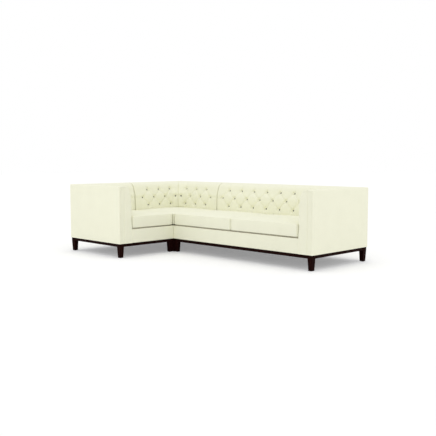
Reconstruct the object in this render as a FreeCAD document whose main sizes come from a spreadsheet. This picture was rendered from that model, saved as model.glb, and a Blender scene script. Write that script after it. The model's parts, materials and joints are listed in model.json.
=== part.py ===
import FreeCAD, Part
import math
import os
import re
from dataclasses import dataclass

import Sketcher
from FreeCAD import Placement, Rotation, Vector

# Corner sofa in three sections that hook together: a one-seat section with the left arm, a square
# corner section, and a two-seat section with the right arm. The floor is Z = 0, the origin is under
# the middle of the outline, the long wing runs along X and its back faces +Y.

# Driving dimensions in millimetres. Names that end in share are fractions of a pad's depth.
SIZES = {
    "long_width": 2994,
    "short_length": 1750,
    "wing_depth": 969,
    "full_height": 790,
    "base_height": 157,
    "deck_height": 322,
    "band": 66,
    "skin": 8,
    "edge_round": 10,
    "section_gap": 0.6,
    "back_pad": 182,
    "arm_pad": 108,
    "arm_nose": 26,
    "bend_drop": 155,
    "shoulder_drop": 40,
    "shoulder_share": 0.8,
    "crest_share": 0.45,
    "row_drop": 84,
    "row_pitch": 98.5,
    "tuft_pitch": 202,
    "tuft_margin": 86,
    "corner_pitch": 186.5,
    "corner_margin": 132,
    "tuft_depth": 26,
    "tuft_mouth": 25,
    "pleat_depth": 15,
    "pleat_half": 44,
    "button_radius": 12,
    "button_height": 7,
    "timber": 50,
    "rail_high": 70,
    "border": 12,
    "border_round": 8,
    "webbing_width": 60,
    "webbing_thick": 3,
    "webbing_step": 92,
    "deck_thick": 9,
    "dust_thick": 2,
    "plinth_high": 30,
    "plinth_thick": 22,
    "plinth_inset": 12,
    "leg_top": 50,
    "leg_foot": 38.5,
    "glide_radius": 14,
    "glide_high": 3,
    "bolt_radius": 4,
    "bolt_clear": 0.15,
    "bolt_reach": 55,
    "plate_long": 45,
    "plate_thick": 3,
    "blade_wide": 36,
    "blade_reach": 40,
    "blade_drop": 1.5,
    "catch_clear": 0.4,
    "hook_back": 240,
    "hook_front": 700,
    "cushion_thick": 131,
    "cushion_crown": 12,
    "cushion_edge": 13,
    "cushion_corner": 20,
    "cushion_draw": 4,
    "cushion_over": 4,
    "cushion_side": 2,
    "cushion_back": 1,
    "cushion_rest": 0.3,
}

document = FreeCAD.newDocument("CornerSofa")
sheet = document.addObject("Spreadsheet::Sheet", "Sizes")
for row, (alias, size) in enumerate(SIZES.items(), start=1):
    sheet.set(f"A{row}", alias)
    sheet.set(f"B{row}", str(size))
    sheet.setAlias(f"B{row}", alias)
document.recompute()

# The widest window left between the posts of a frame.
WIDEST_WINDOW = 240
# A pleat's groove: how wide and deep its steep middle is, against its half width and its depth.
STEEP_WIDTH = 0.32
STEEP_DEPTH = 0.55
# The flat sides of small round pieces, and a button's top against its foot.
FLAT_SIDES = 8
BUTTON_TOP = 0.65
# A cushion's crown: how far in its two upper rings lie, as shares of its smaller side, and how much
# of the crown's height each has.
CROWN_RINGS = ((0.16, 0.6), (0.34, 1))
# Where along a cushion's side its outline bends.
SIDE_STEPS = (0, 0.25, 0.5, 0.75, 1)
# How far a cutting outline stands past the solid that it cuts, and a cut past a face that it opens.
OVERCUT = 30
PAST_FACE = 1


def bind(text):
    """Return a sizes expression in which every alias points at the sheet."""
    return re.sub(r"[a-z]+(?:_[a-z]+)*", lambda word: f"Sizes.{word.group(0)}", str(text))


def number(text):
    """Return the present value of a sizes expression."""
    return float(sheet.evalExpression(bind(text)))


@dataclass
class Wall:
    """One straight back or arm. Along it, distances run from its corner end to its open end."""

    name: str
    length: str
    turn: float
    origin: tuple
    corner_first: bool
    runs_through: bool
    pad: str
    next_pad: str
    open_end: str
    first_tuft: str
    tuft_step: str
    tufts: int
    side_tufts: int

    def span(self, low, high):
        """Return the local start and the length of a stretch from low to high."""
        start = low if self.corner_first else f"{self.length} - ({high})"
        return start, f"({high}) - ({low})"

    def along(self, distance):
        """Return the local X of a distance from the corner end."""
        return distance if self.corner_first else f"{self.length} - ({distance})"

    def end(self):
        """Return the distance from the corner end to the open end."""
        return f"{self.length} - section_gap / 2" if self.open_end == "seam" else self.length


WEST = "-long_width / 2"
EAST = "long_width / 2"
NORTH = "short_length / 2"
SOUTH = "-short_length / 2"
LONG = "(long_width - wing_depth)"
SHORT = "(short_length - wing_depth)"

WALLS = {
    "left_arm": Wall(
        "left_arm", "wing_depth", 0, (WEST, SOUTH), True, False,
        "arm_pad", "back_pad", "front", "tuft_margin", "tuft_pitch", 4, 3,
    ),
    "left_back": Wall(
        "left_back", SHORT, -90, (WEST, f"{NORTH} - wing_depth"), False, True,
        "back_pad", "arm_pad", "seam", "tuft_margin", "tuft_pitch", 3, 2,
    ),
    "corner_left_back": Wall(
        "corner_left_back", "wing_depth", -90, (WEST, NORTH), True, True,
        "back_pad", "back_pad", "seam", "corner_margin", "corner_pitch", 4, 3,
    ),
    "corner_right_back": Wall(
        "corner_right_back", "wing_depth", 180, (f"{WEST} + wing_depth", NORTH), False, False,
        "back_pad", "back_pad", "seam", "corner_margin", "corner_pitch", 4, 3,
    ),
    "right_back": Wall(
        "right_back", LONG, 180, (EAST, NORTH), True, True,
        "back_pad", "arm_pad", "seam", "tuft_margin", "tuft_pitch", 9, 9,
    ),
    "right_arm": Wall(
        "right_arm", "wing_depth", 90, (EAST, f"{NORTH} - wing_depth"), False, False,
        "arm_pad", "back_pad", "front", "tuft_margin", "tuft_pitch", 4, 3,
    ),
}


@dataclass
class Section:
    """One section of the sofa, laid out from the corner end of its back wall."""

    name: str
    wall: Wall
    walls: tuple
    base_low: str
    front: str
    joined_front: bool
    hooks: str


SECTIONS = {
    "left": Section(
        "left", WALLS["left_back"], ("left_back", "left_arm"),
        "band + arm_pad", "wing_depth", False, "tongues",
    ),
    "corner": Section(
        "corner", WALLS["corner_left_back"], ("corner_left_back", "corner_right_back"),
        "band", "wing_depth - section_gap / 2", True, "catches",
    ),
    "right": Section(
        "right", WALLS["right_back"], ("right_back", "right_arm"),
        "band + arm_pad", "wing_depth", False, "tongues",
    ),
}

nodes = []


def finish(item, label):
    """Give a finished sub-part the label that names its file."""
    item.Label = label
    nodes.append(item)
    return item


def put(item, wall, x="0", y="0", z="0"):
    """Stand an object at a wall's local X, Y and Z, turned as the wall is."""
    item.Placement = Placement(Vector(), Rotation(Vector(0, 0, 1), wall.turn))
    east, north = {
        0: (f"({x})", f"({y})"),
        90: (f"-({y})", f"({x})"),
        180: (f"-({x})", f"-({y})"),
        -90: (f"({y})", f"-({x})"),
    }[wall.turn]
    item.setExpression("Placement.Base.x", bind(f"{wall.origin[0]} + {east}"))
    item.setExpression("Placement.Base.y", bind(f"{wall.origin[1]} + {north}"))
    item.setExpression("Placement.Base.z", bind(z))
    return item


def box(name, wall, along, across, up):
    """Make a box from low and high pairs along the wall, inward from it, and up."""
    start, length = wall.span(*along)
    item = document.addObject("Part::Box", name)
    item.setExpression("Length", bind(length))
    item.setExpression("Width", bind(f"({across[1]}) - ({across[0]})"))
    item.setExpression("Height", bind(f"({up[1]}) - ({up[0]})"))
    return put(item, wall, start, across[0], up[0])


def rod(name, wall, radius, place, up):
    """Make an upright rod with flat sides at a distance along and inward."""
    item = document.addObject("Part::Prism", name)
    item.Polygon = FLAT_SIDES
    item.setExpression("Circumradius", bind(radius))
    item.setExpression("Height", bind(f"({up[1]}) - ({up[0]})"))
    return put(item, wall, wall.along(place[0]), place[1], up[0])


def gather(kind, name, items):
    """Join items into one Part::Compound or Part::MultiFuse."""
    group = document.addObject(kind, name)
    if kind == "Part::Compound":
        group.Links = items
    else:
        group.Shapes = items
    return group


def cut(name, base, tool):
    """Take a tool away from a base."""
    result = document.addObject("Part::Cut", name)
    result.Base = base
    result.Tool = tool
    return result


def sketch_on(body, name, role, offset=None):
    """Add a sketch on one of a body's own origin planes, raised along its normal."""
    plane = next(item for item in body.Origin.OriginFeatures if item.Role == role)
    sketch = body.newObject("Sketcher::SketchObject", name)
    sketch.AttachmentSupport = (plane, [""])
    sketch.MapMode = "FlatFace"
    if offset is not None:
        sketch.setExpression("AttachmentOffset.Base.z", bind(offset))
    return sketch


def arc_middle(start, end, radius):
    """Return the middle of the minor arc that bulges to the right of the way from start to end."""
    chord = end - start
    rise = radius - math.sqrt(max(radius**2 - (chord.Length / 2) ** 2, 0))
    right = Vector(chord.y, -chord.x, 0).normalize()
    return (start + end) / 2 + right * rise


def draw_outline(sketch, corners, arcs=None):
    """Draw a closed outline through corners. A side in arcs bulges to its right, with that radius."""
    arcs = arcs or {}
    points = [Vector(number(x), number(y), 0) for x, y in corners]
    for side, start in enumerate(points):
        end = points[(side + 1) % len(points)]
        if side in arcs:
            middle = arc_middle(start, end, number(arcs[side]))
            sketch.addGeometry(Part.Arc(start, middle, end), False)
        else:
            sketch.addGeometry(Part.LineSegment(start, end), False)
    ends = []
    for side, start in enumerate(points):
        first_is_start = (sketch.getPoint(side, 1) - start).Length < 1e-6
        ends.append((1, 2) if first_is_start else (2, 1))
    for side in range(len(points)):
        after = (side + 1) % len(points)
        sketch.addConstraint(Sketcher.Constraint("Coincident", side, ends[side][1], after, ends[after][0]))
    for side, (x, y) in enumerate(corners):
        for axis, text in (("X", x), ("Y", y)):
            rule = Sketcher.Constraint(f"Distance{axis}", -1, 1, side, ends[side][0], number(text))
            sketch.renameConstraint(sketch.addConstraint(rule), f"corner{axis}{side}")
            sketch.setExpression(f"Constraints.corner{axis}{side}", bind(text))
        if side in arcs:
            rule = Sketcher.Constraint("Radius", side, number(arcs[side]))
            sketch.renameConstraint(sketch.addConstraint(rule), f"radius{side}")
            sketch.setExpression(f"Constraints.radius{side}", bind(arcs[side]))
    return sketch


def add_pad(body, name, sketch, length):
    """Extrude a sketch along its normal."""
    feature = body.newObject("PartDesign::Pad", name)
    feature.Profile = sketch
    feature.setExpression("Length", bind(length))
    return feature


def add_pocket(body, name, sketch, length):
    """Cut along a sketch's normal, away from its plane."""
    feature = body.newObject("PartDesign::Pocket", name)
    feature.Profile = sketch
    feature.Reversed = True
    feature.setExpression("Length", bind(length))
    return feature


def add_fillet(body, name, feature, radius, chosen):
    """Round the edges whose middle point passes a test."""
    document.recompute()
    edges = []
    for index, edge in enumerate(feature.Shape.Edges, start=1):
        middle = edge.valueAt((edge.FirstParameter + edge.LastParameter) / 2)
        if chosen(middle, edge):
            edges.append(f"Edge{index}")
    fillet = body.newObject("PartDesign::Fillet", name)
    fillet.Base = (feature, edges)
    fillet.setExpression("Radius", bind(radius))
    return fillet


def near(value, text):
    """Tell whether a measure lies at a sizes expression."""
    return abs(value - number(text)) < 0.01


def make_cover(wall):
    """The outside band of a wall: a rounded casing, hollow for the frame."""
    low = "0" if wall.runs_through else "band"
    high = wall.end()
    start, length = wall.span(low, high)
    body = document.addObject("PartDesign::Body", f"{wall.name}_casing")
    sketch = sketch_on(body, f"{wall.name}_casing_plan", "XY_Plane", "base_height")
    finish_x = f"{start} + {length}"
    draw_outline(sketch, [(start, "0"), (finish_x, "0"), (finish_x, "band"), (start, "band")])
    solid = add_pad(body, f"{wall.name}_casing_pad", sketch, "full_height - base_height")
    shown_ends = [wall.along(low)] if wall.runs_through else []
    if wall.open_end == "front":
        shown_ends.append(wall.along(high))

    def shows(middle, _):
        outer_top = near(middle.y, "0") and near(middle.z, "full_height")
        at_end = any(near(middle.x, end) for end in shown_ends)
        return outer_top or (at_end and (near(middle.y, "0") or near(middle.z, "full_height")))

    add_fillet(body, f"{wall.name}_casing_round", solid, "edge_round", shows)
    put(body, wall)
    hollow = box(
        f"{wall.name}_casing_hollow", wall, (f"{low} + skin", f"{high} - skin"),
        ("skin", "band"), ("base_height", "full_height - skin"),
    )
    finish(cut(f"{wall.name}_cover_cut", body, hollow), f"{wall.name}_cover")


def ladder(name, wall, along, across, up, posts_run):
    """A frame of two rails and as many posts as keep its windows narrow.

    The rails are the top and bottom members of an upright frame (posts_run is "up"), or the back
    and front members of a lying one (posts_run is "across").
    """
    low, high = along
    length = f"(({high}) - ({low}))"
    if posts_run == "up":
        rails = [(across, (up[0], f"{up[0]} + rail_high")), (across, (f"{up[1]} - rail_high", up[1]))]
        between = (across, (f"{up[0]} + rail_high", f"{up[1]} - rail_high"))
    else:
        back, front = across
        rails = [((back, f"{back} + timber"), up), ((f"{front} - timber", front), up)]
        between = ((f"{back} + timber", f"{front} - timber"), up)
    members = [
        box(f"{name}_rail{index}", wall, along, place[0], place[1]) for index, place in enumerate(rails)
    ]
    windows = math.ceil(number(f"{length} - timber") / (WIDEST_WINDOW + number("timber")))
    for index in range(windows + 1):
        start = f"{low} + ({length} - timber) * {index} / {windows}"
        members.append(box(f"{name}_post{index}", wall, (start, f"{start} + timber"), *between))
    frame = gather("Part::MultiFuse", f"{name}_joined", members)
    frame.Refine = True
    return frame


def leg_places(section):
    """Return the four leg centres as along and inward pairs, and the pattern's two spacings."""
    inset = "plinth_inset + leg_top / 2"
    far_along = f"{section.wall.end()} - leg_top / 2"
    far_in = f"{section.front} - leg_top / 2" if section.joined_front else f"wing_depth - ({inset})"
    places = [(s, y) for s in (inset, far_along) for y in (inset, far_in)]
    return places, (inset, far_along), (inset, far_in)


def make_frames(section):
    """The seat frame, and a frame for each wall, all bored for the leg bolts."""
    name = section.name
    frames = {
        f"{name}_seat_frame": ladder(
            f"{name}_seat_frame", section.wall, (section.base_low, f"{section.wall.end()} - border"),
            ("band", f"{section.front} - border"),
            ("base_height", "deck_height - deck_thick - webbing_thick"),
            "across",
        )
    }
    for key in section.walls:
        wall = WALLS[key]
        low = "skin" if wall.runs_through else "band + skin"
        frames[f"{key}_frame"] = ladder(
            f"{key}_frame", wall, (low, f"{wall.end()} - skin"),
            ("skin", "band"), ("base_height", "full_height - skin"), "up",
        )
    places = leg_places(section)[0]
    for label, frame in frames.items():
        bores = [
            rod(
                f"{label}_bore{index}", section.wall, "bolt_radius + bolt_clear", place,
                (f"base_height - {PAST_FACE}", "base_height + bolt_reach"),
            )
            for index, place in enumerate(places)
        ]
        bored = cut(f"{label}_bored", frame, gather("Part::Compound", f"{label}_bores", bores))
        finish(bored, label)


def pad_face(wall, height):
    """Return the pad face's distance from the outside of the wall, and its outward normal."""
    full = number(f"band + {wall.pad}")
    bend = number("full_height - bend_drop")
    shoulder = number("full_height - shoulder_drop")
    back_by = number(f"{wall.pad} * (1 - shoulder_share)")
    if height <= bend:
        return full, Vector(0, 1, 0)
    rise = shoulder - bend
    return full - back_by * (height - bend) / rise, Vector(0, rise, back_by).normalize()


def face_point(wall, distance, height):
    """Return a point of the pad's face and the normal there, in the wall's own frame."""
    inward, normal = pad_face(wall, height)
    return Vector(number(wall.along(str(distance))), inward, height), normal


def tuft_rows(wall):
    """Return three rows of tuft centres, top first, as (distance, height) pairs."""
    end = number(wall.end())
    first = number(wall.first_tuft)
    step = number(wall.tuft_step)
    top = number("full_height - row_drop")
    drop = number("row_pitch")
    rows = []
    for index, count in enumerate((wall.side_tufts, wall.tufts, wall.side_tufts)):
        shift = 0 if index == 1 else step / 2
        rows.append([(end - first - shift - step * turn, top - drop * index) for turn in range(count)])
    return rows


def pleat_cutter(start, end, normal, depth):
    """A long prism whose section is a rounded V, its sharp edge under the pad's face."""
    way = (end - start).normalize()
    side = way.cross(normal).normalize()
    out = side.cross(way).normalize()
    half = number("pleat_half")
    steep = (half * STEEP_WIDTH, -depth * (1 - STEEP_DEPTH))
    slope = (half - steep[0]) / -steep[1]
    section = [(0, -depth), steep, (half + slope * depth, depth)]
    section += [(-across, high) for across, high in reversed(section[1:])]
    points = [start + side * across + out * high for across, high in section]
    face = Part.Face(Part.makePolygon(points + points[:1]))
    return face.extrude(end - start)


def facet_solid(rings):
    """Close a stack of rings, with as many points each, into a solid with flat faces."""
    faces = [Part.Face(Part.makePolygon(ring + ring[:1])) for ring in (rings[0], rings[-1])]
    for low, high in zip(rings, rings[1:]):
        for index, point in enumerate(low):
            after = (index + 1) % len(low)
            for corners in ((point, low[after], high[after]), (point, high[after], high[index])):
                faces.append(Part.Face(Part.makePolygon([*corners, corners[0]])))
    solid = Part.Solid(Part.makeShell(faces))
    if solid.Volume < 0:
        solid.reverse()
    return solid.removeSplitter()


def facet_ring(radius, level):
    """Return the corners of a level ring with a round piece's flat sides."""
    angles = [math.tau * index / FLAT_SIDES for index in range(FLAT_SIDES)]
    return [Vector(radius * math.cos(angle), radius * math.sin(angle), level) for angle in angles]


def facet_cone(foot, normal, low_radius, high_radius, height):
    """A cone frustum with flat sides, standing on its foot point along a normal."""
    turn = Rotation(Vector(0, 0, 1), normal)
    rings = [facet_ring(low_radius, 0), facet_ring(high_radius, height)]
    return facet_solid([[foot + turn.multVec(point) for point in ring] for ring in rings])


def tuft_cutter(point, normal):
    """A cone that sinks the button's seat into the pad."""
    depth = number("tuft_depth")
    seat = number("button_radius") + 1
    mouth = number("tuft_mouth")
    slope = (mouth - seat) / depth
    lift = depth / 2
    return facet_cone(point - normal * depth, normal, seat, mouth + slope * lift, depth + lift)


def pleat_lines(wall):
    """Return the pleats between tufts, up over the top edge, down to the seat and to the ends."""
    upper, middle, lower = tuft_rows(wall)
    step = number(wall.tuft_step)
    lines = []
    for row in (upper, lower):
        for tuft in row:
            lines += [(tuft, other) for other in middle if abs(abs(tuft[0] - other[0]) - step / 2) < 1]
    shoulder = number("full_height - shoulder_drop")
    seat = number("deck_height + cushion_thick - 2 * cushion_edge")
    lines += [(tuft, (tuft[0], shoulder)) for tuft in upper]
    lines += [(tuft, (tuft[0], seat)) for tuft in lower]
    end = number(wall.end())
    lines.append((middle[0], (end + PAST_FACE, middle[0][1])))
    lines.append((middle[-1], (0, middle[-1][1])))
    return lines


def crest_radius(wall):
    """Return the expression of the radius that rounds the top edge of a wall's pad."""
    run = f"({wall.pad} * (shoulder_share - crest_share))"
    return f"({run} ^ 2 + shoulder_drop ^ 2) / (2 * shoulder_drop)"


def crest_cutters(wall, distance):
    """The last stretches of an upright pleat, which dies out over the pad's rounded top edge."""
    radius = number(crest_radius(wall))
    centre = Vector(number(wall.along(str(distance))), number(f"band + {wall.pad} * crest_share"), 0)
    centre.z = number("full_height") - radius
    whole = math.acos(1 - number("shoulder_drop") / radius)
    rays = [Vector(0, math.sin(whole * share), math.cos(whole * share)) for share in (1, 0.5, 0)]
    cutters = []
    for index, ray in enumerate(rays[:-1]):
        start, stop = centre + ray * radius, centre + rays[index + 1] * radius
        depth = number("pleat_depth") / (index + 1)
        cutters.append(pleat_cutter(start, stop, (ray + rays[index + 1]).normalize(), depth))
    return cutters


def make_tufted_pad(wall):
    """The tufted inner pad of a wall, drawn in by its buttons and pleats."""
    base = "base_height" if wall.pad == "arm_pad" else "deck_height"
    depth = f"band + {wall.pad}"
    end = wall.end()
    corners = [
        (wall.along("band"), "band"), (wall.along(f"band + {wall.next_pad}"), depth),
        (wall.along(end), depth), (wall.along(end), "band"),
    ]
    body = document.addObject("PartDesign::Body", f"{wall.name}_blank")
    plan = draw_outline(sketch_on(body, f"{wall.name}_plan", "XY_Plane", base), corners)
    add_pad(body, f"{wall.name}_block", plan, f"full_height - {base}")
    crest = f"band + {wall.pad} * crest_share"
    lean = sketch_on(body, f"{wall.name}_lean", "YZ_Plane", f"-{PAST_FACE}")
    draw_outline(
        lean,
        [
            (crest, f"full_height + {OVERCUT}"), (f"{depth} + {OVERCUT}", f"full_height + {OVERCUT}"),
            (f"{depth} + {OVERCUT}", "full_height - bend_drop"), (depth, "full_height - bend_drop"),
            (f"band + {wall.pad} * shoulder_share", "full_height - shoulder_drop"), (crest, "full_height"),
        ],
        {4: crest_radius(wall)},
    )
    add_pocket(body, f"{wall.name}_slope", lean, f"{wall.length} + 2 * {PAST_FACE}")
    if wall.open_end == "front":
        corner = [
            (wall.along(end), f"{depth} - arm_nose"), (wall.along(end), f"{depth} + {PAST_FACE}"),
            (wall.along(f"{end} - arm_nose"), f"{depth} + {PAST_FACE}"),
            (wall.along(f"{end} - arm_nose"), depth),
        ]
        if wall.corner_first:
            corner.reverse()
        nose = sketch_on(body, f"{wall.name}_nose", "XY_Plane", "deck_height")
        draw_outline(nose, corner, {3: "arm_nose"})
        add_pocket(body, f"{wall.name}_nose_cut", nose, "full_height")
    put(body, wall)
    document.recompute()
    tools = []
    for row in tuft_rows(wall):
        for distance, height in row:
            tools.append(tuft_cutter(*face_point(wall, distance, height)))
    for start, finish_at in pleat_lines(wall):
        first, first_normal = face_point(wall, *start)
        last, last_normal = face_point(wall, *finish_at)
        normal = (first_normal + last_normal).normalize()
        tools.append(pleat_cutter(first, last, normal, number("pleat_depth")))
    for distance, _ in tuft_rows(wall)[0]:
        tools += crest_cutters(wall, distance)
    shape = body.Shape.copy()
    shape.Placement = Placement()
    pad = document.addObject("Part::Feature", f"{wall.name}_tufted")
    pad.Shape = shape.cut(tools)
    pad.Placement = body.Placement
    finish(pad, f"{wall.name}_pad")
    make_buttons(wall, body.Placement)


def make_buttons(wall, placement):
    """The covered buttons, each seated at the bottom of its tuft."""
    radius = number("button_radius")
    buttons = []
    for row in tuft_rows(wall):
        for distance, height in row:
            point, normal = face_point(wall, distance, height)
            seat = point - normal * number("tuft_depth")
            buttons.append(facet_cone(seat, normal, radius, radius * BUTTON_TOP, number("button_height")))
    group = document.addObject("Part::Feature", f"{wall.name}_button_set")
    group.Shape = Part.makeCompound(buttons)
    group.Placement = placement
    finish(group, f"{wall.name}_buttons")


def make_seat_base(section):
    """The webbing, seat deck, upholstered borders and dust cover of a section."""
    name = section.name
    wall = section.wall
    seat_high = f"{wall.end()} - border"
    front_in = f"{section.front} - border"
    top = "deck_height - deck_thick"
    straps = []
    width = number(f"({seat_high}) - ({section.base_low})")
    count = int(width // number("webbing_step"))
    for index in range(count):
        start = f"{section.base_low} + (({seat_high}) - ({section.base_low})) * {index + 0.5} / {count}"
        along = (f"{start} - webbing_width / 2", f"{start} + webbing_width / 2")
        straps.append(
            box(f"{name}_strap{index}", wall, along, ("band", front_in), (f"{top} - webbing_thick", top))
        )
    finish(gather("Part::Compound", f"{name}_straps", straps), f"{name}_webbing")
    deck = box(
        f"{name}_deck_board", wall, (section.base_low, seat_high), ("band", front_in), (top, "deck_height")
    )
    finish(deck, f"{name}_seat_deck")

    front_board = make_border(section, (section.base_low, wall.end()), front_in)
    end_board = box(
        f"{name}_end_board", wall, (seat_high, wall.end()), ("band", front_in), ("base_height", "deck_height")
    )
    if section.joined_front:
        both = gather("Part::Compound", f"{name}_boards", [front_board, end_board])
        finish(both, f"{name}_end_borders")
    else:
        finish(front_board, f"{name}_front_border")
        finish(end_board, f"{name}_end_border")

    inner = "plinth_inset + plinth_thick + 2"
    clear = "plate_long + 5"
    front_edge = f"{section.front} - ({clear})" if section.joined_front else f"wing_depth - ({inner})"
    sheet_board = box(
        f"{name}_dust_board", wall, (inner, f"{wall.end()} - ({clear})"), (inner, front_edge),
        ("base_height - dust_thick", "base_height"),
    )
    half = "(leg_top / 2 + 1)"
    notches = [
        box(
            f"{name}_notch{index}", wall,
            (f"{s} - {half}", f"{s} + {half}"), (f"{y} - {half}", f"{y} + {half}"),
            (f"base_height - dust_thick - {PAST_FACE}", f"base_height + {PAST_FACE}"),
        )
        for index, (s, y) in enumerate(leg_places(section)[0])
    ]
    notched = cut(f"{name}_dust_cut", sheet_board, gather("Part::Compound", f"{name}_notches", notches))
    finish(notched, f"{name}_dust_cover")


def make_border(section, along, back_face):
    """An upholstered board on the front of the seat frame, its top edge rounded."""
    wall = section.wall
    name = f"{section.name}_front"
    start, length = wall.span(*along)
    body = document.addObject("PartDesign::Body", f"{name}_board")
    sketch = sketch_on(body, f"{name}_board_section", "YZ_Plane", start)
    face = section.front
    draw_outline(
        sketch,
        [
            (back_face, "base_height"), (face, "base_height"),
            (face, "deck_height"), (back_face, "deck_height"),
        ],
    )
    solid = add_pad(body, f"{name}_board_pad", sketch, length)
    add_fillet(
        body, f"{name}_board_round", solid, "border_round",
        lambda middle, _: near(middle.y, face) and near(middle.z, "deck_height"),
    )
    return put(body, wall)


def make_base(section):
    """The plinth rails, tapered legs, glides and leg bolts of a section."""
    name = section.name
    wall = section.wall
    places, along, inward = leg_places(section)
    half = "leg_top / 2"
    up = ("base_height - plinth_high", "base_height")
    inset = ("plinth_inset", "plinth_inset + plinth_thick")
    clear_along = (f"{along[0]} + {half}", f"{along[1]} - {half}")
    clear_inward = (f"{inward[0]} + {half}", f"{inward[1]} - {half}")
    rails = [
        box(f"{name}_plinth_back", wall, clear_along, inset, up),
        box(f"{name}_plinth_side", wall, inset, clear_inward, up),
    ]
    if not section.joined_front:
        front = ("wing_depth - plinth_inset - plinth_thick", "wing_depth - plinth_inset")
        rails.append(box(f"{name}_plinth_front", wall, clear_along, front, up))
    finish(gather("Part::Compound", f"{name}_plinth", rails), f"{name}_plinth_rails")

    body = document.addObject("PartDesign::Body", f"{name}_leg_set")
    foot = draw_square(sketch_on(body, f"{name}_leg_foot", "XY_Plane", "glide_high"), "leg_foot")
    knee = draw_square(sketch_on(body, f"{name}_leg_knee", "XY_Plane", up[0]), "leg_top")
    block = draw_square(sketch_on(body, f"{name}_leg_head", "XY_Plane", up[0]), "leg_top")
    taper = body.newObject("PartDesign::AdditiveLoft", f"{name}_leg_taper")
    taper.Profile = foot
    taper.Sections = [knee]
    taper.Ruled = True
    document.recompute()
    head = add_pad(body, f"{name}_leg_block", block, "plinth_high")
    bore_low = "base_height - bolt_reach"
    around = [
        (f"(bolt_radius + bolt_clear) * {point.x:.6f}", f"(bolt_radius + bolt_clear) * {point.y:.6f}")
        for point in facet_ring(1, 0)
    ]
    bore_plan = draw_outline(sketch_on(body, f"{name}_leg_bore_plan", "XY_Plane", bore_low), around)
    bore = add_pocket(body, f"{name}_leg_bore", bore_plan, "bolt_reach")
    document.recompute()
    repeat = body.newObject("PartDesign::MultiTransform", f"{name}_leg_repeat")
    repeat.Originals = [taper, head, bore]
    steps = []
    for role, pair in (("X_Axis", along), ("Y_Axis", inward)):
        axis = next(item for item in body.Origin.OriginFeatures if item.Role == role)
        pattern = body.newObject("PartDesign::LinearPattern", f"{name}_leg_{role[0].lower()}_step")
        pattern.Direction = (axis, [""])
        pattern.Occurrences = 2
        pattern.setExpression("Length", bind(f"({pair[1]}) - ({pair[0]})"))
        steps.append(pattern)
    repeat.Transformations = steps
    body.Tip = repeat
    first = along[0] if wall.corner_first else along[1]
    put(body, wall, wall.along(first), inward[0])
    finish(body, f"{name}_legs")

    glides = [
        rod(f"{name}_glide{index}", wall, "glide_radius", place, ("0", "glide_high"))
        for index, place in enumerate(places)
    ]
    finish(gather("Part::Compound", f"{name}_glide_set", glides), f"{name}_leg_glides")
    bolts = [
        rod(f"{name}_bolt{index}", wall, "bolt_radius", place, (bore_low, "base_height + bolt_reach"))
        for index, place in enumerate(places)
    ]
    finish(gather("Part::Compound", f"{name}_bolt_set", bolts), f"{name}_leg_bolts")


def draw_square(sketch, width):
    """Draw a square of a given width about the sketch's origin."""
    low = f"-{width} / 2"
    high = f"{width} / 2"
    return draw_outline(sketch, [(low, low), (high, low), (high, high), (low, high)])


def make_tongues(section):
    """Two steel tongues under the seat frame that reach into the next section's catches."""
    wall = section.wall
    end = wall.end()
    tongues = []
    for index, place in enumerate(("hook_back", "hook_front")):
        across = (f"{place} - blade_wide / 2", f"{place} + blade_wide / 2")
        plate = box(
            f"{section.name}_plate{index}", wall, (f"{end} - plate_long", end), across,
            ("base_height - plate_thick", "base_height"),
        )
        blade = box(
            f"{section.name}_blade{index}", wall, (f"{end} - plate_long / 3", f"{end} + blade_reach"), across,
            ("base_height - plate_thick - blade_drop", "base_height - blade_drop"),
        )
        tongues.append(gather("Part::MultiFuse", f"{section.name}_tongue{index}", [plate, blade]))
    finish(gather("Part::Compound", f"{section.name}_tongue_set", tongues), f"{section.name}_hook_tongues")


def make_catches(section):
    """Channels under both joined ends of the corner section, one for each tongue."""
    catches = []
    wide = "(blade_wide / 2 + catch_clear)"
    floor = "base_height - blade_drop - plate_thick - catch_clear"
    for side in WALLS["corner_left_back"], WALLS["corner_right_back"]:
        for place in ("hook_back", "hook_front"):
            name = f"catch{len(catches)}"
            body = document.addObject("PartDesign::Body", f"{name}_channel")
            start, length = side.span(f"{side.end()} - plate_long", f"{side.end()} - 2")
            sketch = sketch_on(body, f"{name}_section", "YZ_Plane", start)
            low = f"{floor} - plate_thick"
            draw_outline(
                sketch,
                [
                    (f"{place} - {wide} - plate_thick", low), (f"{place} + {wide} + plate_thick", low),
                    (f"{place} + {wide} + plate_thick", "base_height"), (f"{place} + {wide}", "base_height"),
                    (f"{place} + {wide}", floor), (f"{place} - {wide}", floor),
                    (f"{place} - {wide}", "base_height"), (f"{place} - {wide} - plate_thick", "base_height"),
                ],
            )
            add_pad(body, f"{name}_pad", sketch, length)
            put(body, side)
            catches.append(body)
    finish(gather("Part::Compound", f"{section.name}_catch_set", catches), f"{section.name}_hook_catches")


def cushion_ring(low, high, inset, level):
    """A closed ring of short lines with cut corners, whose sides draw in between them."""
    draw = number("cushion_draw")
    cut_corner = number("cushion_corner")
    west, south = low.x + inset, low.y + inset
    east, north = high.x - inset, high.y - inset
    corners = [Vector(west, south), Vector(east, south), Vector(east, north), Vector(west, north)]
    points = []
    for index, corner in enumerate(corners):
        way = corners[(index + 1) % 4] - corner
        length = way.Length
        way.normalize()
        inward = Vector(-way.y, way.x, 0)
        for share in SIDE_STEPS:
            along = cut_corner + (length - 2 * cut_corner) * share
            drawn = draw * (1 - (2 * share - 1) ** 2)
            points.append(corner + way * along + inward * drawn + Vector(0, 0, level))
        tip = corners[(index + 1) % 4] - (way - inward) * cut_corner * (1 - math.sqrt(0.5))
        points.append(tip + Vector(0, 0, level))
    return points


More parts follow.
